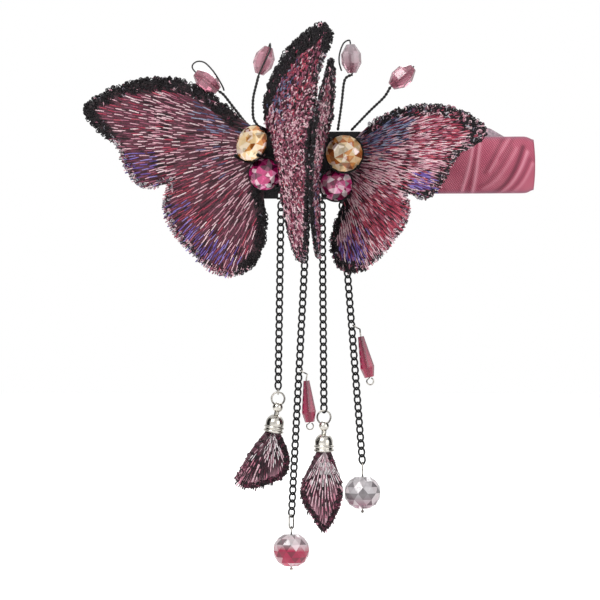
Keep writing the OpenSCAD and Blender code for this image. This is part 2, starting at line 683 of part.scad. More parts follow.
antenna_bead(BEAD_3);  // antenna_bead_3
antenna_bead(BEAD_4);  // antenna_bead_4
top_ring(0);  // top_ring_1
top_ring(1);  // top_ring_2
top_ring(2);  // top_ring_3
top_ring(3);  // top_ring_4
chain_upper(0);  // chain_1_upper
chain_middle(0);  // chain_1_middle
chain_lower(0);  // chain_1_lower
chain_upper(1);  // chain_2_upper
chain_middle(1);  // chain_2_middle
chain_lower(1);  // chain_2_lower
chain_upper(2);  // chain_3_upper
chain_middle(2);  // chain_3_middle
chain_lower(2);  // chain_3_lower
chain_upper(3);  // chain_4_upper
chain_middle(3);  // chain_4_middle
chain_lower(3);  // chain_4_lower
tassel_ring_1();
tassel_ring_3();
tassel_cap(ring_1, tassel_ring_r, TILT_1);  // tassel_cap_1
tassel_cap(ring_3, tassel_ring_r3, TILT_3);  // tassel_cap_3
petal(ring_1, tassel_ring_r, TILT_1, PETAL_1, -1);  // petal_1_front
petal(ring_1, tassel_ring_r, TILT_1, PETAL_1, 1);  // petal_1_back
petal(ring_3, tassel_ring_r3, TILT_3, PETAL_3, -1);  // petal_3_front
petal(ring_3, tassel_ring_r3, TILT_3, PETAL_3, 1);  // petal_3_back
bead_link_2();
bead_pin_2();
bead_link_4();
rondelle(bead_2_mid);  // rondelle_2
rondelle(bead_4_mid);  // rondelle_4
drop_pin(1, drop_link_2, drop_top_2, DROP_AXIS_2);  // drop_pin_2
drop_pin(3, drop_link_4, drop_top_4, DROP_AXIS_4);  // drop_pin_4
drop(drop_top_2, DROP_AXIS_2);  // drop_2
drop(drop_top_4, DROP_AXIS_4);  // drop_4
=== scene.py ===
import json
import math
import random

import bmesh
import bpy
import numpy as np
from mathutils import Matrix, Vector


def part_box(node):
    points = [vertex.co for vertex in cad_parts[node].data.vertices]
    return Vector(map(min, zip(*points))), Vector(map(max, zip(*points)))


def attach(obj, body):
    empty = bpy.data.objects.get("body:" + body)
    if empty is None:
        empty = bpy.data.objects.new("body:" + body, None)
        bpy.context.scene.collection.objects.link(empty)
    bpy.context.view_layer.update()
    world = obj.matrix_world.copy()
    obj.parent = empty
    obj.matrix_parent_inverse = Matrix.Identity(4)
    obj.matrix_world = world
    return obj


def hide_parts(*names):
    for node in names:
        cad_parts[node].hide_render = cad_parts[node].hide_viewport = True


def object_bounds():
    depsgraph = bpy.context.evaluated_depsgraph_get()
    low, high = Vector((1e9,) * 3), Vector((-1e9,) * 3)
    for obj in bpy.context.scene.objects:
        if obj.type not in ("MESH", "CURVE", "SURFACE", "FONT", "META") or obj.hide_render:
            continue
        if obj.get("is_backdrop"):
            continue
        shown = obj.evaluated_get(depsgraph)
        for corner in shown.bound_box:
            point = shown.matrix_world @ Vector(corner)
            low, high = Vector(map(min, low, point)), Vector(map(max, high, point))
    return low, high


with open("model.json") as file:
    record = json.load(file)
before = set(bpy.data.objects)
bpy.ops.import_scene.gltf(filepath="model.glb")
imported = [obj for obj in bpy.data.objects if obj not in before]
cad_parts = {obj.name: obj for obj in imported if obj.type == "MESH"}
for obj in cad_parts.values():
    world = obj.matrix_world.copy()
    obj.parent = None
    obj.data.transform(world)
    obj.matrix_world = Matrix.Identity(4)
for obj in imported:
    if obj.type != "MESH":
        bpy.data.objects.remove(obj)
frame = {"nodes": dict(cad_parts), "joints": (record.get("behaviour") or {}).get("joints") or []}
cad_low, cad_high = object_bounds()
nodes = frame["nodes"]
joints = {j["name"]: j for j in frame["joints"]}

# --- Clip arms, hinge pin and spring ---
# The two arms are stamped from spring steel strip and nickel plated, the pin is a rivet and the spring is
# hard-drawn wire. Tumbling leaves a soft bright finish, with fine rolling lines along the arms.


def colour(text):
    """An sRGB hex colour as the linear values that a shader takes."""
    def linear(c):
        return c / 12.92 if c <= 0.04045 else ((c + 0.055) / 1.055) ** 2.4
    return tuple(linear(int(text[i:i + 2], 16) / 255) for i in (1, 3, 5)) + (1,)


def add_node(tree, kind, inputs=None, **settings):
    """Adds a node. Settings are its properties; an input is a value or another node's output."""
    made = tree.nodes.new(kind)
    for name, value in settings.items():
        setattr(made, name, value)
    for key, value in (inputs or {}).items():
        if isinstance(value, bpy.types.NodeSocket):
            tree.links.new(value, made.inputs[key])
        else:
            made.inputs[key].default_value = value
    return made


def start_material(name, **values):
    """A material of one Principled shader, whose uniform values are set on its own sockets."""
    made = bpy.data.materials.new(name)
    made.use_nodes = True
    tree = made.node_tree
    shader = tree.nodes["Principled BSDF"]
    for key, value in values.items():
        shader.inputs[key.replace("_", " ")].default_value = value
    return made, tree, shader, add_node(tree, "ShaderNodeTexCoord").outputs["Object"]


def blended(tree, share, low, high):
    """The colour between two hex colours, or two colour outputs, by a share."""
    made = add_node(tree, "ShaderNodeMix", {0: share}, data_type="RGBA")
    for key, value in ((6, low), (7, high)):
        if isinstance(value, str):
            made.inputs[key].default_value = colour(value)
        else:
            tree.links.new(value, made.inputs[key])
    return made.outputs[2]


def ranged(tree, value, low, high, to_low=0.0, to_high=1.0):
    return add_node(tree, "ShaderNodeMapRange", {0: value, 1: low, 2: high, 3: to_low, 4: to_high}).outputs[0]


def surface(tree, shader, base, rough=None, height=None, strength=0.0, depth=0.0):
    """Links a colour, a roughness and a bump, whose depth is in metres, to a shader."""
    tree.links.new(base, shader.inputs["Base Color"])
    if rough is not None:
        tree.links.new(rough, shader.inputs["Roughness"])
    if height is not None:
        bump = add_node(tree, "ShaderNodeBump", {0: strength, 1: depth, "Height": height})
        tree.links.new(bump.outputs[0], shader.inputs["Normal"])


def clouded(name, scale, detail, span, shades, rough=None, **values):
    """A material whose colour drifts between two shades, and its roughness with it if that is given."""
    made, tree, shader, place = start_material(name, **values)
    cloud = add_node(tree, "ShaderNodeTexNoise", {0: place, 2: scale, 3: detail}).outputs[0]
    surface(tree, shader, blended(tree, ranged(tree, cloud, *span), *shades),
            rough and ranged(tree, cloud, 0.3, 0.7, *rough))
    return made


def give(node_names, finish):
    """Puts a finish on CAD nodes that are shown as they are."""
    for name in node_names:
        slots = nodes[name].data.materials
        slots.clear()
        slots.append(finish)


plated_steel, tree, shader, place = start_material("plated_spring_steel", Metallic=1.0, Roughness=0.28)
rolled = add_node(tree, "ShaderNodeMapping", {0: place, 3: (60, 900, 2200)}).outputs[0]
rolling = add_node(tree, "ShaderNodeTexNoise", {0: rolled, 2: 1.0, 3: 3.0}).outputs[0]
cloud = add_node(tree, "ShaderNodeTexNoise", {0: place, 2: 260.0, 3: 4.0}).outputs[0]
surface(tree, shader, blended(tree, cloud, "#a9abb0", "#d3d4d6"), ranged(tree, rolling, 0.3, 0.7, 0.2, 0.4),
        rolling, 0.12, 0.0001)
give(["lower_arm", "upper_arm", "hinge_pin", "torsion_spring", "spring_lower_leg"], plated_steel)

# --- Ribbon ---
# Dusty rose grosgrain, a ribbed woven polyester ribbon 16 mm wide, is wound on a slant round the upper arm
# and glued at its ends. Each turn's selvedge lies as a low step on the turn before, and the last turns fan
# out towards the thumb end.

ARM_LINE = [(-31.3, 1.3), (-26.8, 1.5), (-17, 3.4), (12, 3.4), (30, 4.9), (43.2, 6.8)]
low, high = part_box("ribbon_wrap")
RIBBON_START, RIBBON_END, RIBBON_HALF_W = low.x * 1000, high.x * 1000, high.z * 1000
RIBBON_HALF_T = 1.05


def arm_height(x):
    for (x0, h0), (x1, h1) in zip(ARM_LINE, ARM_LINE[1:]):
        if x <= x1:
            return h0 + (h1 - h0) * (x - x0) / (x1 - x0)
    return ARM_LINE[-1][1] + (x - ARM_LINE[-1][0]) * 1.9 / 13.2


def new_object(name, verts, faces, finish, millimetres=True):
    """A mesh object at the origin, with its place in its mesh."""
    mesh = bpy.data.meshes.new(name)
    scale = 0.001 if millimetres else 1
    mesh.from_pydata([tuple(c * scale for c in v) for v in verts], [], faces)
    mesh.materials.append(finish)
    made = bpy.data.objects.new(name, mesh)
    bpy.context.scene.collection.objects.link(made)
    return made


def outward(obj):
    """Merges doubled points and turns the faces outwards."""
    shape = bmesh.new()
    shape.from_mesh(obj.data)
    bmesh.ops.remove_doubles(shape, verts=shape.verts, dist=1e-7)
    bmesh.ops.recalc_face_normals(shape, faces=shape.faces)
    shape.to_mesh(obj.data)
    shape.free()


def give_wall(obj, thickness, offset):
    wall = obj.modifiers.new("cloth", "SOLIDIFY")
    wall.thickness = thickness
    wall.offset = offset


def point_attribute(obj, name, kind, values):
    made = obj.data.attributes.new(name, kind, "POINT")
    made.data.foreach_set({"FLOAT": "value", "FLOAT_COLOR": "color", "FLOAT_VECTOR": "vector"}[kind],
                          np.array(values, np.float32).ravel())


def shade_smooth(obj):
    obj.data.polygons.foreach_set("use_smooth", [True] * len(obj.data.polygons))


grosgrain, tree, shader, place = start_material(
    "rose_grosgrain_ribbon", Roughness=0.62, Sheen_Weight=0.35, Sheen_Roughness=0.4,
    Sheen_Tint=colour("#f2b6c6"), Specular_IOR_Level=0.35)
# Ribs of thread 0.4 mm apart on a slant, crossed by finer warp threads, with painted shade in the hollows
# between them
slant = add_node(tree, "ShaderNodeMapping", {0: place, 2: (0, math.radians(34), 0)}).outputs[0]
ribs, warp = (
    add_node(tree, "ShaderNodeTexWave", {0: slant, 1: scale, 2: bend, 3: 1.0}, bands_direction=way).outputs[1]
    for scale, bend, way in ((760.0, 0.6, "X"), (900.0, 0.8, "Z")))
weave = add_node(tree, "ShaderNodeMath", {0: ribs, 1: warp}, operation="MULTIPLY").outputs[0]
cloud = add_node(tree, "ShaderNodeTexNoise", {0: place, 2: 180.0, 3: 5.0}).outputs[0]
fold = add_node(tree, "ShaderNodeAttribute", attribute_name="fold").outputs["Fac"]
painted_edge_shade = add_node(tree, "ShaderNodeAttribute", attribute_name="painted_edge_shade").outputs["Fac"]
surface_colour = blended(tree, ranged(tree, cloud, 0.3, 0.7), "#c05972", "#d5778a")
# Painted shade in the hollows between the ribs of the weave
surface_colour = blended(tree, ranged(tree, weave, 0.0, 0.5, 0.85, 0.0), surface_colour, "#7c2f46")
# Painted light from the crease heights: a painted highlight on each ridge and painted shade in each hollow,
# also on the steps between turns
surface_colour = blended(tree, ranged(tree, fold, 0.0, 1.0, 0.0, 0.55), surface_colour, "#efabbb")
surface_colour = blended(tree, ranged(tree, fold, 0.0, -1.0, 0.0, 0.8), surface_colour, "#4f1a2c")
# Painted shade greys the ribbon towards its upper and lower edges, where it curves away
surface_colour = blended(tree, painted_edge_shade, surface_colour, "#8b6676")
surface(tree, shader, surface_colour, None, weave, 0.5, 0.00012)

# Creases in the last turns, as places along X and Z: (lower end, middle, upper end, half width, height).
# A height below 0 is a hollow.
# The same heights paint a highlight on each ridge and shade in each hollow.
FOLDS = [((28.2, -6.6), (29.9, -1), (31.2, 5.2), 0.42, 1),
         ((29.2, -6.6), (30.7, -1), (31.7, 4.4), 0.5, -0.55),
         ((30.7, -6.4), (31.6, -1), (32.3, 4.6), 0.42, 1),
         ((31.6, -6.6), (37.6, -4.4), (41.6, 3.8), 0.5, -1),
         ((32.8, -6.8), (38.5, -4.6), (42.5, 2.8), 0.42, 0.85),
         ((34.6, -6.8), (39.6, -4.9), (43.2, 1.2), 0.45, -0.55),
         ((35.9, -6.8), (40.4, -5.1), (43.6, 0.2), 0.4, 0.6),
         ((33.4, -1.6), (35.2, 1.6), (37.4, 5.8), 0.4, -0.6),
         ((34.4, -1.4), (36.2, 1.5), (38.7, 5.8), 0.4, 0.55),
         ((32.4, -4.6), (35.6, -2), (39.2, 3.6), 0.45, -0.45),
         ((33, -5), (36.6, -2.4), (40.2, 3.4), 0.4, 0.45),
         ((36.5, 1.2), (38.2, 3.4), (39.6, 5.9), 0.4, -0.35)]
FOLD_LINES = []
for low_end, middle, high_end, width, height in FOLDS:
    t = np.linspace(0, 1, 90)[:, None]
    bow = 2 * np.array(middle) - (np.array(low_end) + np.array(high_end)) / 2
    line = (1 - t) ** 2 * np.array(low_end) + 2 * t * (1 - t) * bow + t * t * np.array(high_end)
    FOLD_LINES.append((line, width, height))


def fold_at(x, w):
    """How far the creases lift (to 1) or sink (to -1) the ribbon at a place."""
    found = 0.0
    for line, width, height in FOLD_LINES:
        d = np.min(np.hypot(line[:, 0] - x, line[:, 1] - w)) / width
        if d < 3:
            found += height * math.exp(-d * d)
    return max(-1.0, min(1.0, found))


# Angles round the arm, closest together on the front
turns = [*range(-45, 45, 15), *np.linspace(45, 135, 41)[:-1], *range(135, 225, 15),
         *np.linspace(225, 315, 25)[:-1]]
across, along = len(turns), 260
corner = 0.75
outline = []
for turn in turns:
    a = math.radians(float(turn) + 0.01)
    c, s = math.cos(a), math.sin(a)
    stretch = 1 / max(abs(c), abs(s))
    w = (RIBBON_HALF_W - corner) * c * stretch + corner * c
    t = (RIBBON_HALF_T - corner) * s * stretch + corner * s
    outline.append((w, t, s))

# In millimetres: the turns' pitch, how far they slant for each one across, and the selvedge's step. Then
# where the creases start and the steps end, and the opening in the back at the hinge.
PITCH, SLANT, STEP = 7.5, 0.45, 0.22
FAN_START, STEPS_END = 26, 27
OPENING_START, OPENING_END, OPENING_HALF_W = 17.5, 34.5, 5.3
verts, fold_values, edge_shade_values, faces = [], [], [], []
for i in range(along + 1):
    x = RIBBON_START + (RIBBON_END - RIBBON_START) * i / along
    to_end = (RIBBON_END - x) / 1.1
    tuck = 1 - 0.45 * math.exp(-to_end)
    rounding = 1 - 0.11 * math.exp(-to_end * to_end)
    for w, t, s in outline:
        front = s > 0
        step = STEP * (1 - ((x + (SLANT if front else -SLANT) * w) / PITCH) % 1) - 0.1
        fold = fold_at(x, w) if front and x > FAN_START else 0.0
        lift = 0.3 * fold + (step if x < STEPS_END or not front else 0.02)
        wave = 0.05 * math.sin(x * 0.9 + w * 0.5)
        push = (lift + wave) * abs(s) * (1 if front else -1)
        bulge = 0.35 * (1 - (w / RIBBON_HALF_W) ** 2) * (i == along)
        verts.append((x + bulge, -(arm_height(x) + (t + push) * tuck), w * rounding))
        # Crease heights, or else the step's height, which set the painted highlight and painted shade
        fold_values.append(fold if fold else 0.6 * step)
        # Painted edge shade, from 5.35 mm out to the edge
        edge_shade_values.append(max(0, (abs(w) - 5.35) / 0.8) * 0.8)
for i in range(along):
    x = RIBBON_START + (RIBBON_END - RIBBON_START) * (i + 0.5) / along
    for k in range(across):
        n = (k + 1) % across
        back = outline[k][2] < 0 and outline[n][2] < 0
        middle = max(abs(outline[k][0]), abs(outline[n][0])) < OPENING_HALF_W
        if back and middle and OPENING_START < x < OPENING_END:
            continue
        a, b = i * across, (i + 1) * across
        faces.append((a + k, b + k, b + n, a + n))
# The thumb end is closed by the folded-over end of the ribbon
end_mid = len(verts)
verts.append((RIBBON_END + 0.3, -arm_height(RIBBON_END), 0))
fold_values.append(0)
edge_shade_values.append(0.2)
last = along * across
faces += [(last + k, end_mid, last + (k + 1) % across) for k in range(across)]
ribbon = new_object("ribbon", verts, faces, grosgrain)
point_attribute(ribbon, "fold", "FLOAT", fold_values)
point_attribute(ribbon, "painted_edge_shade", "FLOAT", edge_shade_values)
outward(ribbon)
shade_smooth(ribbon)
give_wall(ribbon, 0.00035, -1)

# The frayed corner of an inner turn stands out above, thin and greyed
frayed = clouded("frayed_ribbon_corner", 1800.0, 4.0, (0.35, 0.65), ("#8f7f88", "#b9a3ad"),
                 Roughness=0.8, Alpha=0.8)
corner_y = -arm_height(33) + 0.3
corner_line = [(28, 5), (38.6, 5), (38.2, 5.9), (34.8, 7.9), (32, 8.6)]
ribbon_corner = new_object("ribbon_corner", [(x, corner_y, z) for x, z in corner_line],
                           [(0, 1, 2, 3, 4)], frayed)
give_wall(ribbon_corner, 0.0002, 0)
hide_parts("ribbon_wrap")
for piece in (ribbon, ribbon_corner):
    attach(piece, "clip_and_butterflies")

# --- Backing pad and top rings ---
# Stiff black wool felt, die cut, is glued on the ribbon and carries the butterflies, the antennae and the
# chains. The rings are black oxide wire, pushed through notches in its lower edge. Felt is matt, with loose
# fibres in all directions.

black_felt, tree, shader, place = start_material("black_wool_felt", Roughness=0.95, Sheen_Weight=0.2,
                                                 Sheen_Roughness=0.6)
fibres = add_node(tree, "ShaderNodeTexNoise", {0: place, 2: 3200.0, 3: 6.0, 4: 0.7}).outputs[0]
clumps = add_node(tree, "ShaderNodeTexNoise", {0: place, 2: 700.0, 3: 3.0}).outputs[0]
pile = add_node(tree, "ShaderNodeMath", {0: fibres, 1: clumps}, operation="ADD").outputs[0]
surface(tree, shader, blended(tree, ranged(tree, fibres, 0.35, 0.7), "#0d0c0e", "#2c2a2e"), None,
        pile, 0.8, 0.0003)
give(["backing_pad"], black_felt)

black_oxide = clouded("black_oxide_steel", 900.0, 4.0, (0.45, 0.75), ("#09090a", "#1d1c1f"), (0.3, 0.5),
                      Metallic=0.7, Roughness=0.38)
give(["top_ring_1", "top_ring_2", "top_ring_3", "top_ring_4"], black_oxide)
give(["left_amber_claw", "left_fuchsia_claw", "right_amber_claw", "right_fuchsia_claw"], black_oxide)

# --- Wings ---
# Each wing is machine embroidery on a dyed organza ground: glossy rayon stitches fan out from the root in
# pale and dark rows, on both faces, and a thick border of looped black thread stands round the upper edge,
# the tip and the lower lobe.

PAD_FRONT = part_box("backing_pad")[0].y * 1000
WING_Y = PAD_FRONT - 0.55


def unit(v):
    return v / np.linalg.norm(v)


def axes(out, up):
    a = unit(np.array(out, float))
    b = np.array(up, float)
    b = unit(b - a * (a @ b))
    return a, b, np.cross(a, b)


def smooth_path(points, per):
    """A smooth line through points, with some steps from each to the next."""
    pts = np.array(points, float)
    found = []
    for i in range(len(pts) - 1):
        a, b, c, d = (pts[min(max(i + k, 0), len(pts) - 1)] for k in (-1, 0, 1, 2))
        for k in range(per):
            t = k / per
            found.append(0.5 * (2 * b + (c - a) * t + (2 * a - 5 * b + 4 * c - d) * t * t
                                + (3 * b - a - 3 * c + d) * t ** 3))
    return np.array(found + [pts[-1]])


def inside(polygon, q):
    """Which of the points q lie inside a closed outline."""
    found = np.zeros(len(q), bool)
    for (x0, y0), (x1, y1) in zip(polygon, np.roll(polygon, -1, 0)):
        crosses = (y0 > q[:, 1]) != (y1 > q[:, 1])
        where = x0 + (q[:, 1] - y0) * (x1 - x0) / ((y1 - y0) or 1e-9)
        found ^= crosses & (q[:, 0] < where)
    return found


class Cloth:
    """A curved piece of cloth: a flat outline on its own two axes, the curl that lifts it off them, the
    turn that takes it to its place, and the height above which its rim isn't coloured."""

    def __init__(self, root, out, up, curl, line, turn=lambda p: p, rim_below=99.0):
        self.root, self.curl, self.line = np.array(root, float), curl, line
        self.turn, self.rim_below = turn, rim_below
        self.u, self.v, self.n = axes(out, up)
        self.rim = smooth_path(line[1:-1], 6)
        self.outline = np.vstack([[line[0]], self.rim, [line[-1]]])

    def at(self, q, lift=0.0):
        q = np.atleast_2d(q)
        a, b, c = self.curl
        h = (a * q[:, 0] ** 2 + b * q[:, 0] * q[:, 1] + c * q[:, 1] ** 2) / 100 + lift
        return self.turn(self.root + np.outer(q[:, 0], self.u) + np.outer(q[:, 1], self.v)
                         + np.outer(h, self.n))

    def normal(self, q):
        e = 0.05
        du = self.at(q + [e, 0]) - self.at(q - [e, 0])
        dv = self.at(q + [0, e]) - self.at(q - [0, e])
        n = np.cross(du, dv)
        return n / np.linalg.norm(n, axis=1)[:, None]

    def along(self, q, way):
        way = way / np.linalg.norm(way, axis=1)[:, None]
        d = self.at(q + 0.1 * way) - self.at(q - 0.1 * way)
        return d / np.linalg.norm(d, axis=1)[:, None]

    def from_rim(self, q):
        """The distance to the rim, and the place along the rim from 0 to 1."""
        d = np.linalg.norm(q[:, None, :] - self.rim[None, :, :], axis=2)
        near = d.argmin(1)
        return d[np.arange(len(q)), near], near / (len(self.rim) - 1)

    def along_rim(self, side):
        """For each point of the rim: its share, itself, the ways on and in, and the length it stands for."""
        last = len(self.rim) - 1
        for i, point in enumerate(self.rim):
            ahead = self.rim[min(i + 1, last)] - self.rim[max(i - 1, 0)]
            length = np.linalg.norm(ahead) / 2
            yield i / last, point, ahead, side * np.array([ahead[1], -ahead[0]]) / (2 * length), length

    def flat(self):
        """The flat size and the area, in metres. The first side is given as no less than 10 mm."""
        u, v = self.outline[:, 0], self.outline[:, 1]
        area = abs(np.sum(u * np.roll(v, -1) - v * np.roll(u, -1))) / 2
        return (max(0.01, float(np.ptp(u)) / 1000), float(np.ptp(v)) / 1000), float(area) * 1e-6

    def ground(self, name, finish, thickness, rays=12):
        """The sheet itself: straight rays from the root edge to the rim."""
        m = len(self.rim) - 1
        a, b = np.array(self.line[0], float), np.array(self.line[-1], float)
        q = np.array([(a + (b - a) * i / m) * (1 - k / rays) + self.rim[i] * k / rays
                      for i in range(m + 1) for k in range(rays + 1)])
        ripple = 0.12 * np.sin(q[:, 0] * 0.8) * np.sin(q[:, 1] * 0.7 + 1)
        n = rays + 1
        faces = [(i * n + k, i * n + k + 1, (i + 1) * n + k + 1, (i + 1) * n + k)
                 for i in range(m) for k in range(rays)]
        made = new_object(name, self.at(q, ripple), faces, finish)
        near_rim = np.clip(1 - self.from_rim(q)[0] / 2.2, 0, 1)
        low_down = np.clip((self.rim_below - q[:, 1]) / 3, 0, 1)
        point_attribute(made, "rim", "FLOAT", near_rim * low_down)
        give_wall(made, thickness * 0.001, 0)
        shade_smooth(made)
        return made


LEFT_OUTER = Cloth((-14.7, WING_Y, 3.2), (-1, 0.066, 0), (0, 0, 1), (-0.15, 0.02, 0.06),
                   [(0, 3.5), (5.5, 7), (11, 11.5), (17, 14.5), (23, 15), (29.5, 14), (35, 11.5), (38, 8.5),
                    (35, 4.5), (31, 1), (29.5, -3), (27, -7), (23.5, -8), (20, -6.5), (21, -12), (19, -17.5),
                    (15, -22), (9.5, -26.5), (4, -26), (0.5, -21.5), (-0.5, -15), (1, -9), (0, -3)])
LEFT_INNER = Cloth((-13.4, WING_Y, 2.4), (0.261, -0.89, 0.372), (-0.249, 0.311, 0.917), (-0.24, -0.53, 0.02),
                   [(3, 6), (5.5, 9.5), (10.5, 11.5), (17, 13), (24, 13.5), (30.5, 13), (36, 11.5), (39, 8),
                    (36.5, 5.5), (32.5, 3), (30.5, -0.5), (27.5, -5.5), (25, -8), (23, -10), (22.3, -13),
                    (19, -18), (15, -23), (10, -27), (4.5, -27), (0.5, -23), (0.5, -17), (2, -11), (5, -5)])
RIGHT_INNER = Cloth((-1.3, WING_Y, -0.8), (-0.12, -0.875, 0.468), (0.181, 0.444, 0.877),
                    (-0.31, -0.12, -0.63),
                    [(5, 5.5), (6.5, 8.5), (9.5, 9), (13, 10), (17, 11), (21.5, 10.5), (27, 9), (31.5, 7.5),
                     (32, 5.5), (31, 3), (31, 0), (29, -4.5), (26.5, -7), (24, -8.5), (21.5, -13),
                     (17.5, -18), (13, -22), (8, -24.5), (3, -23), (-0.5, -18.5), (-1, -13),
                     (1.5, -8.5), (5, -4)])
RIGHT_OUTER = Cloth((4, WING_Y, 0), (0.673, -0.739, 0.025), (0.157, 0.176, 0.972), (-0.73, 0.38, 0.02),
                    [(0.5, 5.5), (5, 8.5), (10, 10.5), (14, 11.5), (19, 12), (25, 11.5), (30, 9.5), (32.5, 7),
                     (30, 4), (27, 1.5), (25.5, -1.5), (23.5, -5.5), (20.5, -7.5), (16.5, -6), (17.5, -10),
                     (16.5, -14), (13, -19), (8.5, -23), (3, -23), (-0.5, -19), (-1, -14.5), (1, -9.5),
                     (1.5, -4)])

wing_ground, tree, shader, place = start_material("wine_organza_ground", Roughness=0.8, Sheen_Weight=0.2)
threads = add_node(tree, "ShaderNodeTexNoise", {0: place, 2: 2400.0, 3: 4.0}).outputs[0]
rim = add_node(tree, "ShaderNodeAttribute", attribute_name="rim").outputs["Fac"]
surface_colour = blended(tree, ranged(tree, threads, 0.35, 0.65), "#351520", "#5c2838")
surface(tree, shader, blended(tree, rim, surface_colour, "#070608"), None, threads, 0.6, 0.00015)

# Rayon: smooth filament with a silky gloss along each stitch
rayon, tree, shader, place = start_material("rayon_embroidery_thread", Roughness=0.5, Sheen_Weight=0.06,
                                            Sheen_Roughness=0.3, Specular_IOR_Level=0.28)
tint = add_node(tree, "ShaderNodeAttribute", attribute_name="tint").outputs["Color"]
ply = add_node(tree, "ShaderNodeTexNoise", {0: place, 2: 5200.0, 3: 2.0}).outputs[0]
dark = add_node(tree, "ShaderNodeMix", {0: 0.55, 6: tint, 7: (0.02, 0.01, 0.015, 1)},
                data_type="RGBA").outputs[2]
surface(tree, shader, blended(tree, ranged(tree, ply, 0.3, 0.6), dark, tint), None, ply, 0.4, 0.00005)


def start_tree(name, sizes):
    """A Geometry Nodes tree with one geometry input and named sizes in metres."""
    made = bpy.data.node_groups.new(name, "GeometryNodeTree")
    made.interface.new_socket("Places", in_out="INPUT", socket_type="NodeSocketGeometry")
    for size in sizes:
        made.interface.new_socket(size, in_out="INPUT", socket_type="NodeSocketFloat")
    made.interface.new_socket("Geometry", in_out="OUTPUT", socket_type="NodeSocketGeometry")
    return made, add_node(made, "NodeGroupInput").outputs


def tube(tree, line, wire, sides):
    """A wire of a given diameter along a line."""
    radius = add_node(tree, "ShaderNodeMath", {0: wire, 1: 0.5}, operation="MULTIPLY").outputs[0]
    profile = add_node(tree, "GeometryNodeCurvePrimitiveCircle", {0: sides, 4: radius}).outputs[0]
    return add_node(tree, "GeometryNodeCurveToMesh", {0: line, 1: profile}).outputs[0]


def place_on_points(tree, group, shape, finish):
    """Stands the shape on each point, along its way and off its face, and ends the tree."""
    way, off, size = (
        add_node(tree, "GeometryNodeInputNamedAttribute", {0: name}, data_type=kind).outputs[0]
        for name, kind in (("way", "FLOAT_VECTOR"), ("off", "FLOAT_VECTOR"), ("size", "FLOAT")))
    turn = add_node(tree, "FunctionNodeAxesToRotation", {0: way, 1: off},
                    primary_axis="X", secondary_axis="Z").outputs[0]
    inputs = {"Points": group["Places"], "Instance": shape, "Rotation": turn, "Scale": size}
    stood = add_node(tree, "GeometryNodeInstanceOnPoints", inputs).outputs[0]
    real = add_node(tree, "GeometryNodeRealizeInstances", {0: stood}).outputs[0]
    done = add_node(tree, "GeometryNodeSetMaterial", {0: real, "Material": finish}).outputs[0]
    add_node(tree, "NodeGroupOutput", {0: done})


def grow(name, places, way, off, size, tint, tree, sizes, finish):
    """Runs a tree over points with a way, an off direction, a size and a tint, and keeps the plain mesh."""
    made = new_object(name, places, [], finish)
    point_attribute(made, "way", "FLOAT_VECTOR", way)
    point_attribute(made, "off", "FLOAT_VECTOR", off)
    point_attribute(made, "size", "FLOAT", size)
    point_attribute(made, "tint", "FLOAT_COLOR", tint)
    modifier = made.modifiers.new("grow", "NODES")
    modifier.node_group = tree
    for item in tree.interface.items_tree:
        if item.in_out == "INPUT" and item.name in sizes:
            modifier[item.identifier] = sizes[item.name]
    bpy.context.view_layer.update()
    mesh = bpy.data.meshes.new_from_object(made.evaluated_get(bpy.context.evaluated_depsgraph_get()))
    made.modifiers.clear()
    made.data = mesh
    mesh.name = name
    shade_smooth(made)
    return made


# One stitch: a thread that rises from the cloth and dives back into it
stitch_tree, group = start_tree("stitch", ["Stitch length", "Thread width", "Rise"])
half, back, low = (
    add_node(stitch_tree, "ShaderNodeMath", {0: group[name], 1: share}, operation="MULTIPLY").outputs[0]
    for name, share in (("Stitch length", 0.5), ("Stitch length", -0.5), ("Thread width", -0.5)))
start = add_node(stitch_tree, "ShaderNodeCombineXYZ", {0: back, 2: low}).outputs[0]
top = add_node(stitch_tree, "ShaderNodeCombineXYZ", {2: group["Rise"]}).outputs[0]
stop = add_node(stitch_tree, "ShaderNodeCombineXYZ", {0: half, 2: low}).outputs[0]
arc = add_node(stitch_tree, "GeometryNodeCurveQuadraticBezier", {0: 4, 1: start, 2: top, 3: stop}).outputs[0]
place_on_points(stitch_tree, group, tube(stitch_tree, arc, group["Thread width"], 4), rayon)

# One loop of the border: an open ring of thread that stands on the cloth
loop_tree, group = start_tree("border_loop", ["Loop radius", "Thread width"])
ring = add_node(loop_tree, "GeometryNodeCurvePrimitiveCircle", {0: 8, 4: group["Loop radius"]}).outputs[0]
place_on_points(loop_tree, group, tube(loop_tree, ring, group["Thread width"], 3), rayon)

PALE = ["#f2ccd4", "#e6b4c0", "#f8dde1", "#dba3b1", "#ecc0ca"]
ROSE = ["#a05a6f", "#8c465c", "#b06a7f", "#74344a"]
DEEP = ["#3a1020", "#260a16", "#16060d", "#0f0509", "#4a1829"]
RED = ["#bf4a60", "#ad3c55", "#cf6474", "#963449"]
VIOLET = ["#8673c4", "#7459ac", "#9c8acd", "#5c4690"]
SMOKE = ["#8b93b4", "#68719a", "#a5abc4", "#4a5076"]
BLACKS = ["#070608", "#0d0b0e", "#030304", "#161318"]
GREYS = ["#a49fa8", "#6f6a76", "#cdc6cc", "#7d6876"]


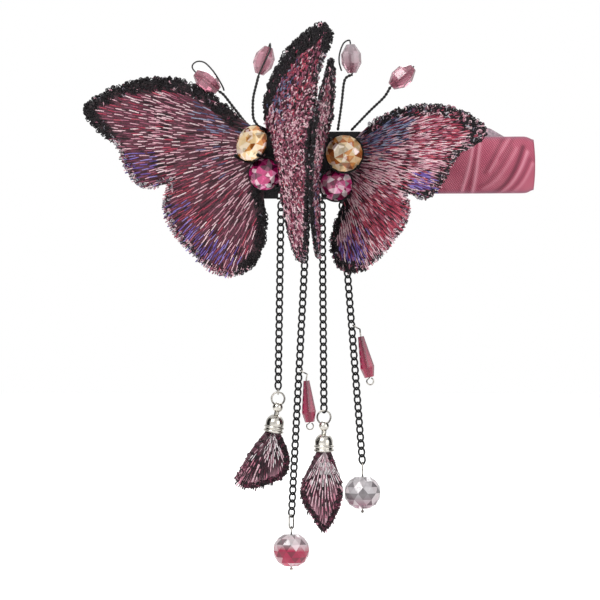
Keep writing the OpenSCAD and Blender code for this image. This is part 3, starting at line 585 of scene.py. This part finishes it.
def fan_of_stitches(cloth, rnd, centre, step, spacing):
    """Places along rays from a centre behind the root: rows split in two as they spread."""
    places, ways, rows = [], [], []
    reach = max(np.linalg.norm(cloth.outline - centre, axis=1))
    r = 3.0
    while r < reach:
        share = 2.0 ** math.floor(math.log2(r / spacing))
        for i in range(int(share * 2 * math.pi)):
            angle = i / share + 0.018 * math.sin(r * 0.5) + rnd.uniform(-0.05, 0.05) / share
            radius = r + (0.5 * step if i % 2 else 0) + rnd.uniform(-0.3, 0.3)
            places.append((centre[0] + radius * math.cos(angle), centre[1] + radius * math.sin(angle)))
            bend = angle + rnd.uniform(-0.12, 0.12)
            ways.append((math.cos(bend), math.sin(bend)))
            rows.append(i)
        r += step
    places, ways, rows = np.array(places), np.array(ways), np.array(rows)
    keep = inside(cloth.outline, places)
    return places[keep], ways[keep], rows[keep]


def band_at(bands, share):
    """The width of the border at a place along the rim, and how much of it is black."""
    for start, stop, width, black in bands:
        if start <= share < stop:
            return width, black
    return 0.6, 0.3


def loose(rnd):
    """A loop's way along the cloth and its way off it, at random."""
    spin = rnd.uniform(0, 2 * math.pi)
    return (math.cos(spin), math.sin(spin)), [rnd.uniform(-1, 1) for _ in range(3)]


def embroider(name, cloth, seed, zones, bands, centre, nubby):
    """Stitches and borders a wing. A nubby one has short, thick stitches that point in all directions."""
    rnd = random.Random(seed)
    ground = cloth.ground(name + "_ground", wing_ground, 0.4)
    pieces = []
    steps = ((1, 0.9, 0.3), (-1, 1.8, 0.4)) if nubby else ((1, 0.95, 0.2), (-1, 1.8, 0.4))
    for face, step, spacing in steps:
        q, way, rows = fan_of_stitches(cloth, rnd, np.array(centre), step, spacing)
        distance, near_rim = cloth.from_rim(q)
        tint, size = [], []
        for i, (u, v) in enumerate(q):
            light = rnd.random() < (0.36 if nubby else 0.93 if rows[i] % 2 == 0 else 0.3)
            pick = PALE if light else rnd.choice([DEEP, DEEP, ROSE, ROSE, ROSE])
            if light and rnd.random() < 0.14:
                pick = RED
            for zu, zv, radius, palette, weight in zones:
                near = math.hypot(u - zu, v - zv) / radius
                if near < 1 and light and rnd.random() < 1.2 * weight * (1 - near * near):
                    pick = palette
            width, black = band_at(bands, near_rim[i] * 20 + 1)
            if distance[i] < width * 1.05 and rnd.random() < black:
                pick = BLACKS
            tint.append(colour(rnd.choice(pick)))
            size.append(rnd.uniform(0.8, 1.2))
        if nubby:
            turn = np.array([rnd.uniform(-0.9, 0.9) for _ in q])
            way = np.column_stack([way[:, 0] * np.cos(turn) - way[:, 1] * np.sin(turn),
                                   way[:, 0] * np.sin(turn) + way[:, 1] * np.cos(turn)])
        lift = face * (0.24 + np.array([rnd.uniform(0, 0.08) for _ in q]))
        off = cloth.normal(q) * face
        sizes = {"Stitch length": 0.0019, "Thread width": 0.00024, "Rise": 0.0002}
        if nubby:
            sizes = {"Stitch length": 0.0011, "Thread width": 0.00033, "Rise": 0.0004}
        pieces.append(grow(f"{name}_stitches_{'front' if face > 0 else 'back'}", cloth.at(q, lift),
                           cloth.along(q, way), off, size, tint, stitch_tree, sizes, rayon))
    q, loose_ways, tint, size = [], [], [], []
    for share, point, ahead, inward, length in cloth.along_rim(1):
        width, black = band_at(bands, share * 20 + 1)
        for _ in range(int(length * (9 + 8 * width) + rnd.random())):
            slide = rnd.uniform(-0.5, 0.5)
            q.append(point + ahead * slide + inward * (rnd.uniform(-0.3, 0.95) * max(width, 1.0)))
            loose_ways.append(loose(rnd))
            pick = BLACKS if rnd.random() < black else rnd.choice([GREYS, GREYS, PALE, ROSE])
            tint.append(colour(rnd.choice(pick)))
            size.append(rnd.uniform(0.7, 1.25) * (1 if width > 1.5 else 0.75))
    q, way, off = np.array(q), *(np.array(part) for part in zip(*loose_ways))
    lift = np.array([rnd.uniform(-0.42, 0.42) for _ in q])
    off = off + 0.4 * cloth.normal(q) * np.sign(lift)[:, None]
    pieces.append(grow(f"{name}_border", cloth.at(q, lift), cloth.along(q, way), off, size, tint, loop_tree,
                       {"Loop radius": 0.00032, "Thread width": 0.00026}, rayon))
    for piece in (ground, *pieces):
        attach(piece, "clip_and_butterflies")
    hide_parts(name)
    flat, area = cloth.flat()


# Zones of colour: (out, up, radius, palette, weight).
# Border: (from, to along the rim on a scale of 1 to 21, width, share of black).
embroider("left_outer_wing", LEFT_OUTER, 11,
          [(33, 8, 8, RED, 0.5), (28, 3, 6, RED, 0.3), (17, -10, 7, RED, 0.6), (14, -14, 8, RED, 0.25),
           (11, 8.5, 6, SMOKE, 0.8), (7, 6, 5, SMOKE, 0.5), (26, -4.5, 5, VIOLET, 0.8),
           (18, -14, 4.5, VIOLET, 0.6), (13, -20, 5.5, VIOLET, 0.6), (8, -24, 4, VIOLET, 0.5),
           (10, -2, 5, SMOKE, 0.2)],
          [(1, 5, 2.3, 0.97), (5, 8.6, 1.9, 0.95), (8.6, 18, 0.7, 0.12), (18, 22, 1.6, 0.97)], (-6, 2), False)
embroider("left_inner_wing", LEFT_INNER, 12,
          [(30, 9, 9, RED, 0.6), (22, 6, 8, RED, 0.4), (14, 8, 8, SMOKE, 0.8), (22, 10, 6, SMOKE, 0.4),
           (18, -14, 6, RED, 0.3)],
          [(1, 6, 3.2, 0.97), (6, 8, 2.2, 0.95), (8, 11, 0.7, 0.4), (11, 17, 1.0, 0.85), (17, 22, 1.3, 0.6)],
          (-4, 2), True)
embroider("right_inner_wing", RIGHT_INNER, 13,
          [(26, 5, 7, RED, 0.3), (12, -20, 6, VIOLET, 0.6), (8, -10, 8, SMOKE, 0.3)],
          [(1, 8, 2.2, 0.8), (8, 11, 1.0, 0.7), (11, 17, 1.1, 0.8), (17, 22, 1.0, 0.4)], (-4, 2), True)
embroider("right_outer_wing", RIGHT_OUTER, 14,
          [(24, 8, 8, RED, 0.5), (14, -10, 8, RED, 0.7), (10, -14, 7, RED, 0.5), (21, -5, 4, VIOLET, 0.6),
           (8, 7, 7, SMOKE, 0.9), (14, 9, 5, SMOKE, 0.6), (6, -19, 5, VIOLET, 0.7), (1, -20, 3, VIOLET, 0.5)],
          [(1, 8, 1.9, 0.66), (8, 13, 1.0, 0.5), (13, 17, 0.8, 0.15), (17, 22, 1.6, 0.8)], (-6, 2), False)

# --- Stones ---
# Round foil-backed lead glass, cut with a flat table and two rows of facets: champagne above fuchsia on
# each butterfly. The foil throws the colour back in separate flashes; every facet is painted its own lighter
# or darker shade as a painted reflection, and cells of painted glint and painted shade lie over them.

cut_glass, tree, shader, place = start_material("foil_backed_cut_glass", Roughness=0.06, Metallic=0.25,
                                                Coat_Weight=0.5, Coat_Roughness=0.02, IOR=1.5)
tint = add_node(tree, "ShaderNodeAttribute", attribute_name="tint").outputs["Color"]
painted_light_cells = add_node(tree, "ShaderNodeTexVoronoi", {0: place, 2: 900.0}).outputs["Color"]
painted_light_share = add_node(tree, "ShaderNodeSeparateColor", {0: painted_light_cells}).outputs[0]
# Voronoi cells darken the facet colour as painted shade (deep) or whiten it as painted glints (bright)
deep, bright = (
    add_node(tree, "ShaderNodeMix", {0: share, 6: tint, 7: end}, data_type="RGBA").outputs[2]
    for share, end in ((0.5, (0, 0, 0, 1)), (0.45, (1, 0.95, 0.95, 1))))
shade = blended(tree, ranged(tree, painted_light_share, 0.15, 0.4), deep, tint)
surface(tree, shader, blended(tree, ranged(tree, painted_light_share, 0.75, 0.85), shade, bright))

# The glass's own colour with lighter and darker painted reflections, one of them for each facet
AMBER_SHADES = ["#eccb98", "#e3b67e", "#f7e3c4", "#d8924e", "#bd6a2c", "#94501f", "#efd2a4", "#e6bd86",
                "#f3dcb6"]
FUCHSIA_SHADES = ["#a51a5c", "#c22c74", "#870f48", "#5e0a36", "#cc4685", "#43082a", "#ad2064", "#e58ab5",
                  "#6f0f43"]


def hull(name, verts, finish):
    """The convex hull of some points, as an object."""
    shape = bmesh.new()
    for v in verts:
        shape.verts.new(v)
    bmesh.ops.convex_hull(shape, input=shape.verts)
    bmesh.ops.recalc_face_normals(shape, faces=shape.faces)
    mesh = bpy.data.meshes.new(name)
    shape.to_mesh(mesh)
    shape.free()
    mesh.materials.append(finish)
    made = bpy.data.objects.new(name, mesh)
    bpy.context.scene.collection.objects.link(made)
    return made


def cut_stone(name, centre, facing, diameter, shades, seed):
    """A round brilliant: girdle, two rows of crown facets and a table whose fragments tip a little."""
    rnd = random.Random(seed)
    a = unit(np.array(facing, float))
    b = unit(np.cross(a, [0.3, 0, 1]))
    c = np.cross(a, b)
    r = diameter / 2 - 0.05
    points = [(0, 0, -0.36 * diameter)]
    for count, radius, height, shift in ((16, r, -0.03, 0), (16, r, 0.03, 0), (8, 0.82 * r, 0.12, 0.5),
                                         (8, 0.6 * r, 0.19, 0), (5, 0.28 * r, 0.195, 0.3)):
        for k in range(count):
            angle = 2 * math.pi * (k + shift) / count
            tip = rnd.uniform(-0.05, 0.05) if count == 5 else 0
            points.append((radius * math.cos(angle), radius * math.sin(angle), height * diameter + tip))
    points.append((0.05 * r, 0.04 * r, 0.2 * diameter))
    verts = [tuple((np.array(centre) + x * b + y * c + z * a) * 0.001) for x, y, z in points]
    made = hull(name, verts, cut_glass)
    layer = made.data.color_attributes.new("tint", "FLOAT_COLOR", "CORNER")
    # Each facet gets a painted reflection shade from the list
    for face in made.data.polygons:
        shade = colour(rnd.choice(shades))
        for corner_index in face.loop_indices:
            layer.data[corner_index].color = shade
    return made


for name, centre, facing, diameter, shades, slot in (
        ("left_amber_stone", (-16.9, -10.9, 4.4), (-0.56, -0.8, 0.22), 8, AMBER_SHADES, "amber_glass"),
        ("left_fuchsia_stone", (-14.1, -9.7, -2.15), (-0.15, -0.98, -0.12), 7, FUCHSIA_SHADES,
         "fuchsia_glass"),
        ("right_amber_stone", (2.96, -11.6, 2.2), (0, -1, 0.05), 8, AMBER_SHADES, "amber_glass"),
        ("right_fuchsia_stone", (1.3, -9.7, -4.4), (0, -1, -0.05), 7, FUCHSIA_SHADES, "fuchsia_glass")):
    stone = cut_stone(name + "_cut", centre, facing, diameter, shades, len(name) * 7 + diameter)
    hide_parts(name)
    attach(stone, "clip_and_butterflies")

# --- Antennae ---
# Black lacquered copper wire is doubled and twisted into a stem, then one strand runs through a faceted
# barrel bead of mauve glass and loops back outside it. The lacquer shines softly, and the bead turns freely
# on its strand.

lacquered_wire = clouded("black_lacquered_wire", 1500.0, 3.0, (0.4, 0.8), ("#060506", "#151214"),
                         Roughness=0.55)
low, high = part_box("backing_pad")
FEELER_Y = (low.y + high.y) * 500
FOOT = high.z * 1000 + 0.3


def frames(path):
    """Each point of a path with two axes across it, which are carried along without twisting."""
    side = np.array([0.0, 1.0, 0.0])
    for i, p in enumerate(path):
        way = unit(path[min(i + 1, len(path) - 1)] - path[max(i - 1, 0)])
        side = unit(side - way * (side @ way))
        yield p, side, np.cross(way, side)


def swept_wire(path, radius, sides=6):
    """Rings of points round a path, with both ends closed."""
    verts, faces = [], []
    for p, side, other in frames(path):
        for k in range(sides):
            a = 2 * math.pi * k / sides
            verts.append(p + radius * (math.cos(a) * side + math.sin(a) * other))
    for i in range(len(path) - 1):
        for k in range(sides):
            n = (k + 1) % sides
            faces.append((i * sides + k, i * sides + n, (i + 1) * sides + n, (i + 1) * sides + k))
    faces.append(tuple(range(sides))[::-1])
    faces.append(tuple((len(path) - 1) * sides + k for k in range(sides)))
    return verts, faces


def twisted_pair(path, radius, turn_length):
    """Two strands laid round each other along a path."""
    strands = [[], []]
    travelled = 0.0
    for i, (p, side, other) in enumerate(frames(path)):
        if i:
            travelled += np.linalg.norm(p - path[i - 1])
        a = 2 * math.pi * travelled / turn_length
        for s, strand in zip((1, -1), strands):
            strand.append(p + s * radius * (math.cos(a) * side + math.sin(a) * other))
    return strands


# For each antenna: the stem's points, the loop's points beyond the bead, the bead's middle and its axis
ANTENNAE = [
    ([(-15.7, 0, FOOT), (-18, 0, 9), (-20.4, -0.2, 11.9), (-22.9, -0.3, 15.1)],
     [(-29.8, -0.3, 21.5), (-28.8, -0.4, 22.4), (-27.2, -0.6, 22.2), (-25.6, -1.2, 20.7), (-24.4, -1.9, 19),
      (-23.3, -2, 17.1), (-22.9, -1.3, 16.1)], (-26.6, -0.2, 18.1), (-0.772, 0, 0.635)),
    ([(-14.6, 0, FOOT), (-16.4, 0, 9.7), (-16.7, -0.2, 12), (-16.6, -0.3, 14.6), (-16, -0.4, 17.2)],
     [(-12.9, -1.2, 26.1), (-13, -2.6, 24.6), (-14, -3, 22.4), (-15.2, -2.5, 19.8), (-15.8, -1.4, 18.4)],
     (-14.3, -0.4, 22.6), (0.33, 0, 0.94)),
    ([(1.7, 0, FOOT), (2.5, -0.2, 13.2), (3, -0.4, 17.6), (3.6, -0.4, 19)],
     [(4, -0.5, 27), (2.9, -0.4, 26.3), (2.1, -0.3, 24.2), (2, -0.3, 22.2), (2.5, -0.3, 20.4)],
     (4.6, -0.4, 23), (-0.06, 0, 1)),
    ([(4.6, 0, FOOT), (8.6, -0.2, 11.7), (11.7, -0.3, 14.7)], [], (15.6, -0.4, 19.1), (0.75, 0, 0.66))]
BEAD_REACH, STRAND_OFFSET, STRAND_LAY = 3.45, 0.16, 1.5
STRAND_R, LOOP_R = 0.17, 0.18
for number, (stem, loop, bead, axis) in enumerate(ANTENNAE, 1):
    bead = np.array(bead, float)
    reach = unit(np.array(axis, float)) * BEAD_REACH
    low, high = bead - reach, bead + reach
    stem_path = smooth_path([*stem, tuple(low)], 26) + [0, FEELER_Y, 0]
    a, b = twisted_pair(stem_path, STRAND_OFFSET, STRAND_LAY)
    loop_path = smooth_path([tuple(low), tuple(bead), tuple(high), *loop], 8) + [0, FEELER_Y, 0]
    verts, faces = [], []
    for path, radius in ((a, STRAND_R), (b, STRAND_R), (loop_path, LOOP_R)):
        wire_verts, wire_faces = swept_wire(np.array(path), radius)
        faces += [tuple(i + len(verts) for i in face) for face in wire_faces]
        verts += wire_verts
    antenna = new_object(f"antenna_{number}", verts, faces, lacquered_wire)
    outward(antenna)
    shade_smooth(antenna)
    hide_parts(f"antenna_wire_{number}")
    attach(antenna, "clip_and_butterflies")


def glass(name, low_colour, high_colour, low_z, high_z, cut=False):
    """Clear cut glass whose colour changes along the upright, as where only its end was dipped."""
    made, tree, shader, place = start_material(name, Roughness=0.04, IOR=1.52,
                                               Transmission_Weight=0.35 if cut else 0.6)
    height = add_node(tree, "ShaderNodeSeparateXYZ", {0: place}).outputs[2]
    smoke = add_node(tree, "ShaderNodeTexNoise", {0: place, 2: 420.0, 3: 2.0}).outputs[0]
    shifting = {0: smoke, 1: (high_z - low_z) * 0.35, 2: -(high_z - low_z) * 0.17}
    shift = add_node(tree, "ShaderNodeMath", shifting, operation="MULTIPLY_ADD").outputs[0]
    raised = add_node(tree, "ShaderNodeMath", {0: height, 1: shift}, operation="ADD").outputs[0]
    tone = blended(tree, ranged(tree, raised, low_z, high_z), low_colour, high_colour)
    if cut:
        # Cut beads: a random value per facet paints it dark as painted shade or near white as a painted
        # reflection
        facet = add_node(tree, "ShaderNodeAttribute", attribute_name="facet").outputs["Fac"]
        dark = add_node(tree, "ShaderNodeMix", {0: 0.6, 6: tone, 7: (0.02, 0.004, 0.01, 1)},
                        data_type="RGBA").outputs[2]
        tone = blended(tree, ranged(tree, facet, 0.15, 0.4, 1.0, 0.0), tone, dark)
        tone = blended(tree, ranged(tree, facet, 0.7, 0.95, 0.0, 0.7), tone, "#fbeef1")
    surface(tree, shader, tone)
    return made


for beads, finish, low_colour, high_colour in (
        (["antenna_bead_1", "antenna_bead_2", "antenna_bead_4"], "mauve_cut_glass", "#9c5468", "#c48c9a"),
        (["antenna_bead_3"], "half_clear_mauve_glass", "#a8707f", "#cfc3c8")):
    low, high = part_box(beads[0])
    give(beads, glass(finish, low_colour, high_colour, low.z, high.z))

# --- Chains ---
# Four lengths of black curb chain: each link is an oval of 0.42 mm steel wire, twisted a quarter turn from
# end to end so that all of them lie the same way, then blackened. Every length is hung on its own ring, in
# three parts that can swing.

LINK_PITCH, LINK_BEND, LINK_WIRE, LINK_PLAY = 1.62, 0.64, 0.42, 0.08
LINK_SIDE = LINK_PITCH - (2 * LINK_BEND - LINK_WIRE - LINK_PLAY)
LINK_HALF = LINK_SIDE / 2 + LINK_BEND
FIRST_LINK = -(LINK_HALF - 0.2 - LINK_WIRE / 2 - LINK_PLAY)
CHAIN_LEAN = [0.9, 3, -0.5, -4.5]
CHAIN_LINKS = [25, 42, 28, 35]
CHAIN_PARTS = [("upper", 1, 11), ("middle", 12, 19), ("lower", 20, None)]

link_tree, group = start_tree("curb_link", ["Half width", "Half length", "Wire", "Twist per metre"])
ring = add_node(link_tree, "GeometryNodeCurvePrimitiveCircle", {0: 14, 4: 1.0}).outputs[0]
where = add_node(link_tree, "GeometryNodeInputPosition").outputs[0]
parts = add_node(link_tree, "ShaderNodeSeparateXYZ", {0: where})
long_way, wide_way = (
    add_node(link_tree, "ShaderNodeMath", {0: part, 1: group[name]}, operation="MULTIPLY").outputs[0]
    for part, name in zip(parts.outputs, ("Half length", "Half width")))
angle = add_node(link_tree, "ShaderNodeMath", {0: long_way, 1: group["Twist per metre"]},
                 operation="MULTIPLY").outputs[0]
turned = []
for kind in ("COSINE", "SINE"):
    share = add_node(link_tree, "ShaderNodeMath", {0: angle}, operation=kind).outputs[0]
    spread = add_node(link_tree, "ShaderNodeMath", {0: wide_way, 1: share}, operation="MULTIPLY")
    turned.append(spread.outputs[0])
spot = add_node(link_tree, "ShaderNodeCombineXYZ", {0: long_way, 1: turned[0], 2: turned[1]}).outputs[0]
bent = add_node(link_tree, "GeometryNodeSetPosition", {0: ring, "Position": spot}).outputs[0]
place_on_points(link_tree, group, tube(link_tree, bent, group["Wire"], 6), black_oxide)

link_sizes = {"Half width": LINK_BEND * 0.001, "Half length": LINK_HALF * 0.001, "Wire": LINK_WIRE * 0.001,
              "Twist per metre": math.radians(45) / (LINK_HALF * 0.001)}
for number in range(1, 5):
    top = np.array(joints[f"chain_{number}_sway"]["pos_m"]) * 1000
    lean = math.radians(CHAIN_LEAN[number - 1])
    down = np.array([-math.sin(lean), 0, -math.cos(lean)])
    for part, first, final in CHAIN_PARTS:
        count = range(first, (final or CHAIN_LINKS[number - 1]) + 1)
        places = [top + down * (-FIRST_LINK + (k - 1) * LINK_PITCH) for k in count]
        name = f"chain_{number}_{part}"
        made = grow(name + "_links", places, [down] * len(count), [(0, -1, 0)] * len(count),
                    [1.0] * len(count), [colour("#161517")] * len(count), link_tree, link_sizes, black_oxide)
        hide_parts(name)
        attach(made, name)

# --- Silver rings, caps and pins ---
# Brass wire and spun brass cups, silver plated and polished: each cup is a dome with a knob above and two
# rolled ribs at the rim. Polished plate is a bright mirror that darkens in the grooves.

silver_plate = clouded("polished_silver_plate", 420.0, 4.0, (0.35, 0.7), ("#97938c", "#e0dcd4"), (0.1, 0.24),
                       Metallic=1.0, Roughness=0.16)
give(["tassel_cap_1", "tassel_cap_3"], silver_plate)

# The thin wires are left as drawn, so they are greyer and less even than the spun cups
silver_wire = clouded("silver_plated_wire", 900.0, 4.0, (0.4, 0.62), ("#56534f", "#b8b4ad"), (0.22, 0.42),
                      Metallic=1.0, Roughness=0.3)
give(["tassel_ring_1", "tassel_ring_3", "bead_link_2", "bead_pin_2", "bead_link_4", "drop_pin_2",
      "drop_pin_4"], silver_wire)

# --- Tassel petals ---
# Two petals of wine organza hang from each silver cup. Threads fan out down them from the cup, pale at the
# top and dark lower down, and a lumpy beaded edge of black and plum thread closes each one.

organza, tree, shader, place = start_material("pink_organza", Roughness=0.5, Alpha=0.85, Sheen_Weight=0.15)
warp = add_node(tree, "ShaderNodeTexWave", {0: place, 1: 1300.0}, bands_direction="X").outputs[1]
weft = add_node(tree, "ShaderNodeTexWave", {0: place, 1: 1300.0}, bands_direction="Z").outputs[1]
weave = add_node(tree, "ShaderNodeMath", {0: warp, 1: weft}, operation="MULTIPLY").outputs[0]
rim = add_node(tree, "ShaderNodeAttribute", attribute_name="rim").outputs["Fac"]
surface_colour = blended(tree, weave, "#33141f", "#6e374b")
surface(tree, shader, blended(tree, rim, surface_colour, "#e8a4b8"), None, weave, 0.4, 0.00008)

PETALS = {
    1: [(-1.2, 0.9), (-1.4, -0.3), (-2.5, -1.7), (-4.2, -5), (-5.6, -9), (-6.2, -11.3), (-4.6, -12.6),
        (-1.8, -12.4), (1.2, -10.9), (3.7, -9), (4.5, -6.2), (3.5, -3.2), (2.3, -1.4), (1.4, -0.3),
        (1.2, 0.9)],
    3: [(-1.2, 0.9), (-1.4, -0.3), (-2.2, -1.5), (-3.3, -3.8), (-4.6, -6.4), (-4.9, -9), (-3.8, -12),
        (-2, -14.8), (-0.3, -16.9), (1.4, -15.6), (2.9, -12.8), (3.8, -9.8), (3.8, -7), (3, -4.2), (2, -1.5),
        (1.4, -0.3), (1.2, 0.9)]}
# The petal's turn in degrees, how pale its threads are, and where along its rim the beads lie
PETAL_TILT = {1: 10, 3: 0}
PETAL_PALE = {1: 0.42, 3: 0.92}
PETAL_BEADED = {1: (0.42, 0.97), 3: (0.28, 0.76)}
PETAL_EDGE = ["#0a0507", "#14080d", "#2b0f1b", "#070405", "#4a1a2d", "#6b2f45"]
CAP_BOTTOM = -6.0
for number, line in PETALS.items():
    hang = np.array(joints[f"tassel_{number}_swing"]["pos_m"]) * 1000
    tilt = math.radians(PETAL_TILT[number])

    def hung(p, hang=hang, tilt=tilt):
        x = p[:, 0] * math.cos(tilt) + p[:, 2] * math.sin(tilt)
        z = -p[:, 0] * math.sin(tilt) + p[:, 2] * math.cos(tilt)
        return np.column_stack([x, p[:, 1], z]) + hang

    for side, where in ((-1, "front"), (1, "back")):
        rnd = random.Random(number * 10 + side)
        cloth = Cloth((0, side * 0.5, CAP_BOTTOM + 0.1), (1, 0, 0), (0, 0, 1),
                      (side * 2.4, 0, side * -1.1), line, hung, -7.0)
        name = f"petal_{number}_{where}"
        ground = cloth.ground(name + "_organza", organza, 0.2, rays=8)
        q, way, tint, size = [], [], [], []
        steps = 22
        for ray in range(-17, 18):
            pale = PETAL_PALE[number] if ray % 2 else 0.04
            for step in range(steps):
                r = 0.4 + step * 0.85
                angle = ray * 0.033 + 0.006 * math.sin(step)
                q.append((r * math.sin(angle) + rnd.uniform(-0.06, 0.06), -r * math.cos(angle)))
                way.append((math.sin(angle), -math.cos(angle)))
                fading = pale * (1.25 - step / steps)
                light = ["#f6eef0", "#e9c3cd"] if step < 9 else ["#f0bcca", "#d98aa0", "#e9c3cd"]
                pick = light if rnd.random() < fading else ["#0c0508", "#1c0a12", "#35121f", "#5a2035"]
                tint.append(colour(rnd.choice(pick)))
                size.append(rnd.uniform(0.85, 1.15))
        q, way = np.array(q), np.array(way)
        keep = inside(cloth.outline, q)
        q, way, tint, size = q[keep], way[keep], np.array(tint)[keep], np.array(size)[keep]
        pieces = []
        for face in (1, -1):
            pieces.append(grow(f"{name}_threads_{'a' if face > 0 else 'b'}", cloth.at(q, face * 0.14),
                               cloth.along(q, way), cloth.normal(q) * face, size, tint, stitch_tree,
                               {"Stitch length": 0.0016, "Thread width": 0.00024, "Rise": 0.0001}, rayon))
        q, loose_ways, tint, size = [], [], [], []
        for share, point, ahead, inward, length in cloth.along_rim(-1):
            beaded = PETAL_BEADED[number][0] < share < PETAL_BEADED[number][1]
            for _ in range(int(length * (22 if beaded else 3) + rnd.random())):
                q.append(point + ahead * rnd.uniform(-0.5, 0.5) + inward * rnd.uniform(0.15, 0.9))
                loose_ways.append(loose(rnd))
                tint.append(colour(rnd.choice(PETAL_EDGE)))
                size.append(rnd.uniform(0.55, 0.95))
        q, way, off = np.array(q), *(np.array(part) for part in zip(*loose_ways))
        lift = np.array([rnd.uniform(-0.3, 0.3) for _ in q])
        pieces.append(grow(f"{name}_edge", cloth.at(q, lift), cloth.along(q, way), off, size, tint, loop_tree,
                           {"Loop radius": 0.00042, "Thread width": 0.00034}, rayon))
        for piece in (ground, *pieces):
            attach(piece, f"tassel_{number}")
        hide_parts(name)

# --- Round beads and drops ---
# Machine-cut glass: two flattened round beads with diamond facets, clear above and crimson or plum below,
# and two long drops of crimson glass with eight lengthwise facets. All are threaded on silver pins and turn
# on them.

# Rows of facets up a round bead, as shares of its radius and its half height
BEAD_ROWS = [(0.42, -1), (0.74, -0.76), (0.93, -0.4), (1, 0), (0.93, 0.4), (0.74, 0.76), (0.42, 1)]


def faceted_bead(name, finish):
    """A round bead on an upright hole, cut with diamond facets, as large as its CAD solid."""
    low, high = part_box(name)
    mid = (low + high) / 2
    half_w, half_h = (high.x - low.x) / 2, (high.z - low.z) / 2
    count = 12
    verts = [(mid.x, mid.y, mid.z - half_h)]
    for j, (radius, height) in enumerate(BEAD_ROWS):
        for k in range(count):
            a = 2 * math.pi * (k + 0.5 * (j % 2)) / count
            verts.append((mid.x + radius * half_w * math.cos(a), mid.y + radius * half_w * math.sin(a),
                          mid.z + height * half_h))
    verts.append((mid.x, mid.y, mid.z + half_h))
    made = hull(name + "_cut", verts, finish)
    # A random value per facet, which the glass turns into painted shade or a painted reflection
    rnd = random.Random(name)
    facet = made.data.attributes.new("facet", "FLOAT", "FACE")
    facet.data.foreach_set("value", [rnd.random() for _ in made.data.polygons])
    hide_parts(name)
    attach(made, name)


for name, finish, slot, low_colour, high_colour, start, stop in (
        ("rondelle_2", "crimson_and_clear_glass", "crimson_glass_two_tone",
         "#b81c4c", "#cbc4c6", 0.0002, 0.0014),
        ("rondelle_4", "plum_and_clear_glass", "plum_glass_two_tone",
         "#9a6a7c", "#bdb8bb", -0.0026, -0.0004)):
    low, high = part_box(name)
    mid_z = (low.z + high.z) / 2
    faceted_bead(name, glass(finish, low_colour, high_colour, mid_z + start, mid_z + stop, cut=True))
for name, finish, low_colour in (("drop_2", "crimson_drop_glass", "#a3244c"),
                                 ("drop_4", "crimson_drop_glass_right", "#b03055")):
    low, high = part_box(name)
    give([name], glass(finish, low_colour, "#7d1a3c", low.z, high.z))

# --- Floor, lights and camera ---
# A pale floor well below the lowest bead, three soft lamps and an even pale surround.


def seen_directly(tree):
    """1 where the camera, a mirror or glass sees a surface, and 0 where only its light arrives."""
    rays = add_node(tree, "ShaderNodeLightPath").outputs
    seen = rays["Is Camera Ray"]
    for kind in ("Is Glossy Ray", "Is Transmission Ray"):
        seen = add_node(tree, "ShaderNodeMath", {0: seen, 1: rays[kind]}, operation="MAXIMUM").outputs[0]
    return seen


floor_white, tree, shader, _ = start_material("floor_white", Roughness=0.9, Base_Color=colour("#f4f4f4"),
                                              Emission_Color=(1, 1, 1, 1))
glow = add_node(tree, "ShaderNodeMath", {0: seen_directly(tree), 1: 0.45}, operation="MULTIPLY").outputs[0]
tree.links.new(glow, shader.inputs["Emission Strength"])
floor_z = cad_low[2] - 0.012
corners = [(x, y, floor_z) for x, y in ((-1.5, -1.5), (1.5, -1.5), (1.5, 1.5), (-1.5, 1.5))]
floor = new_object("floor", corners, [(0, 1, 2, 3)], floor_white, millimetres=False)
floor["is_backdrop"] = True

world = bpy.data.worlds.new("surround")
bpy.context.scene.world = world
world.use_nodes = True
tree = world.node_tree
level = add_node(tree, "ShaderNodeMapRange", {0: seen_directly(tree), 3: 0.55, 4: 1.0}).outputs[0]
surround = tree.nodes["Background"]
surround.inputs[0].default_value = (1, 1, 1, 1)
tree.links.new(level, surround.inputs[1])


def lamp(name, where, at, size, watts):
    data = bpy.data.lights.new(name, "AREA")
    data.size = size
    data.energy = watts
    made = bpy.data.objects.new(name, data)
    bpy.context.scene.collection.objects.link(made)
    made.location = where
    made.rotation_euler = (Vector(at) - Vector(where)).to_track_quat("-Z", "Y").to_euler()


# Black flags beside the object, out of the camera's sight, put dark edges in its glass and metal
flag_black = start_material("flag_black", Roughness=1.0, Base_Color=(0.01, 0.01, 0.01, 1))[0]
for side in (-1, 1):
    corners = [(side * 0.3, y, z) for y, z in ((-0.16, -0.3), (0.16, -0.3), (0.16, 0.3), (-0.16, 0.3))]
    flag = new_object(f"flag_{'left' if side < 0 else 'right'}", corners, [(0, 1, 2, 3)], flag_black,
                      millimetres=False)
    flag.visible_camera = False
    flag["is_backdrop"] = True

lamp("key", (-0.35, -0.55, 0.45), (0, 0, -0.02), 0.35, 4.2)
lamp("fill", (0.5, -0.5, 0.05), (0, 0, -0.03), 0.5, 1.8)
lamp("rim", (0.15, 0.5, 0.5), (0, 0, 0), 0.4, 2.4)

lens = bpy.data.cameras.new("camera")
lens.lens = 166.5
lens.sensor_width = 36
lens.clip_start = 0.01
camera = bpy.data.objects.new("camera", lens)
bpy.context.scene.collection.objects.link(camera)
camera.location = (-0.00649, -0.606, -0.02919)
camera.rotation_euler = (math.radians(90), 0, 0)
bpy.context.scene.camera = camera
bpy.context.scene.view_settings.view_transform = "Standard"

low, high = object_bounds()
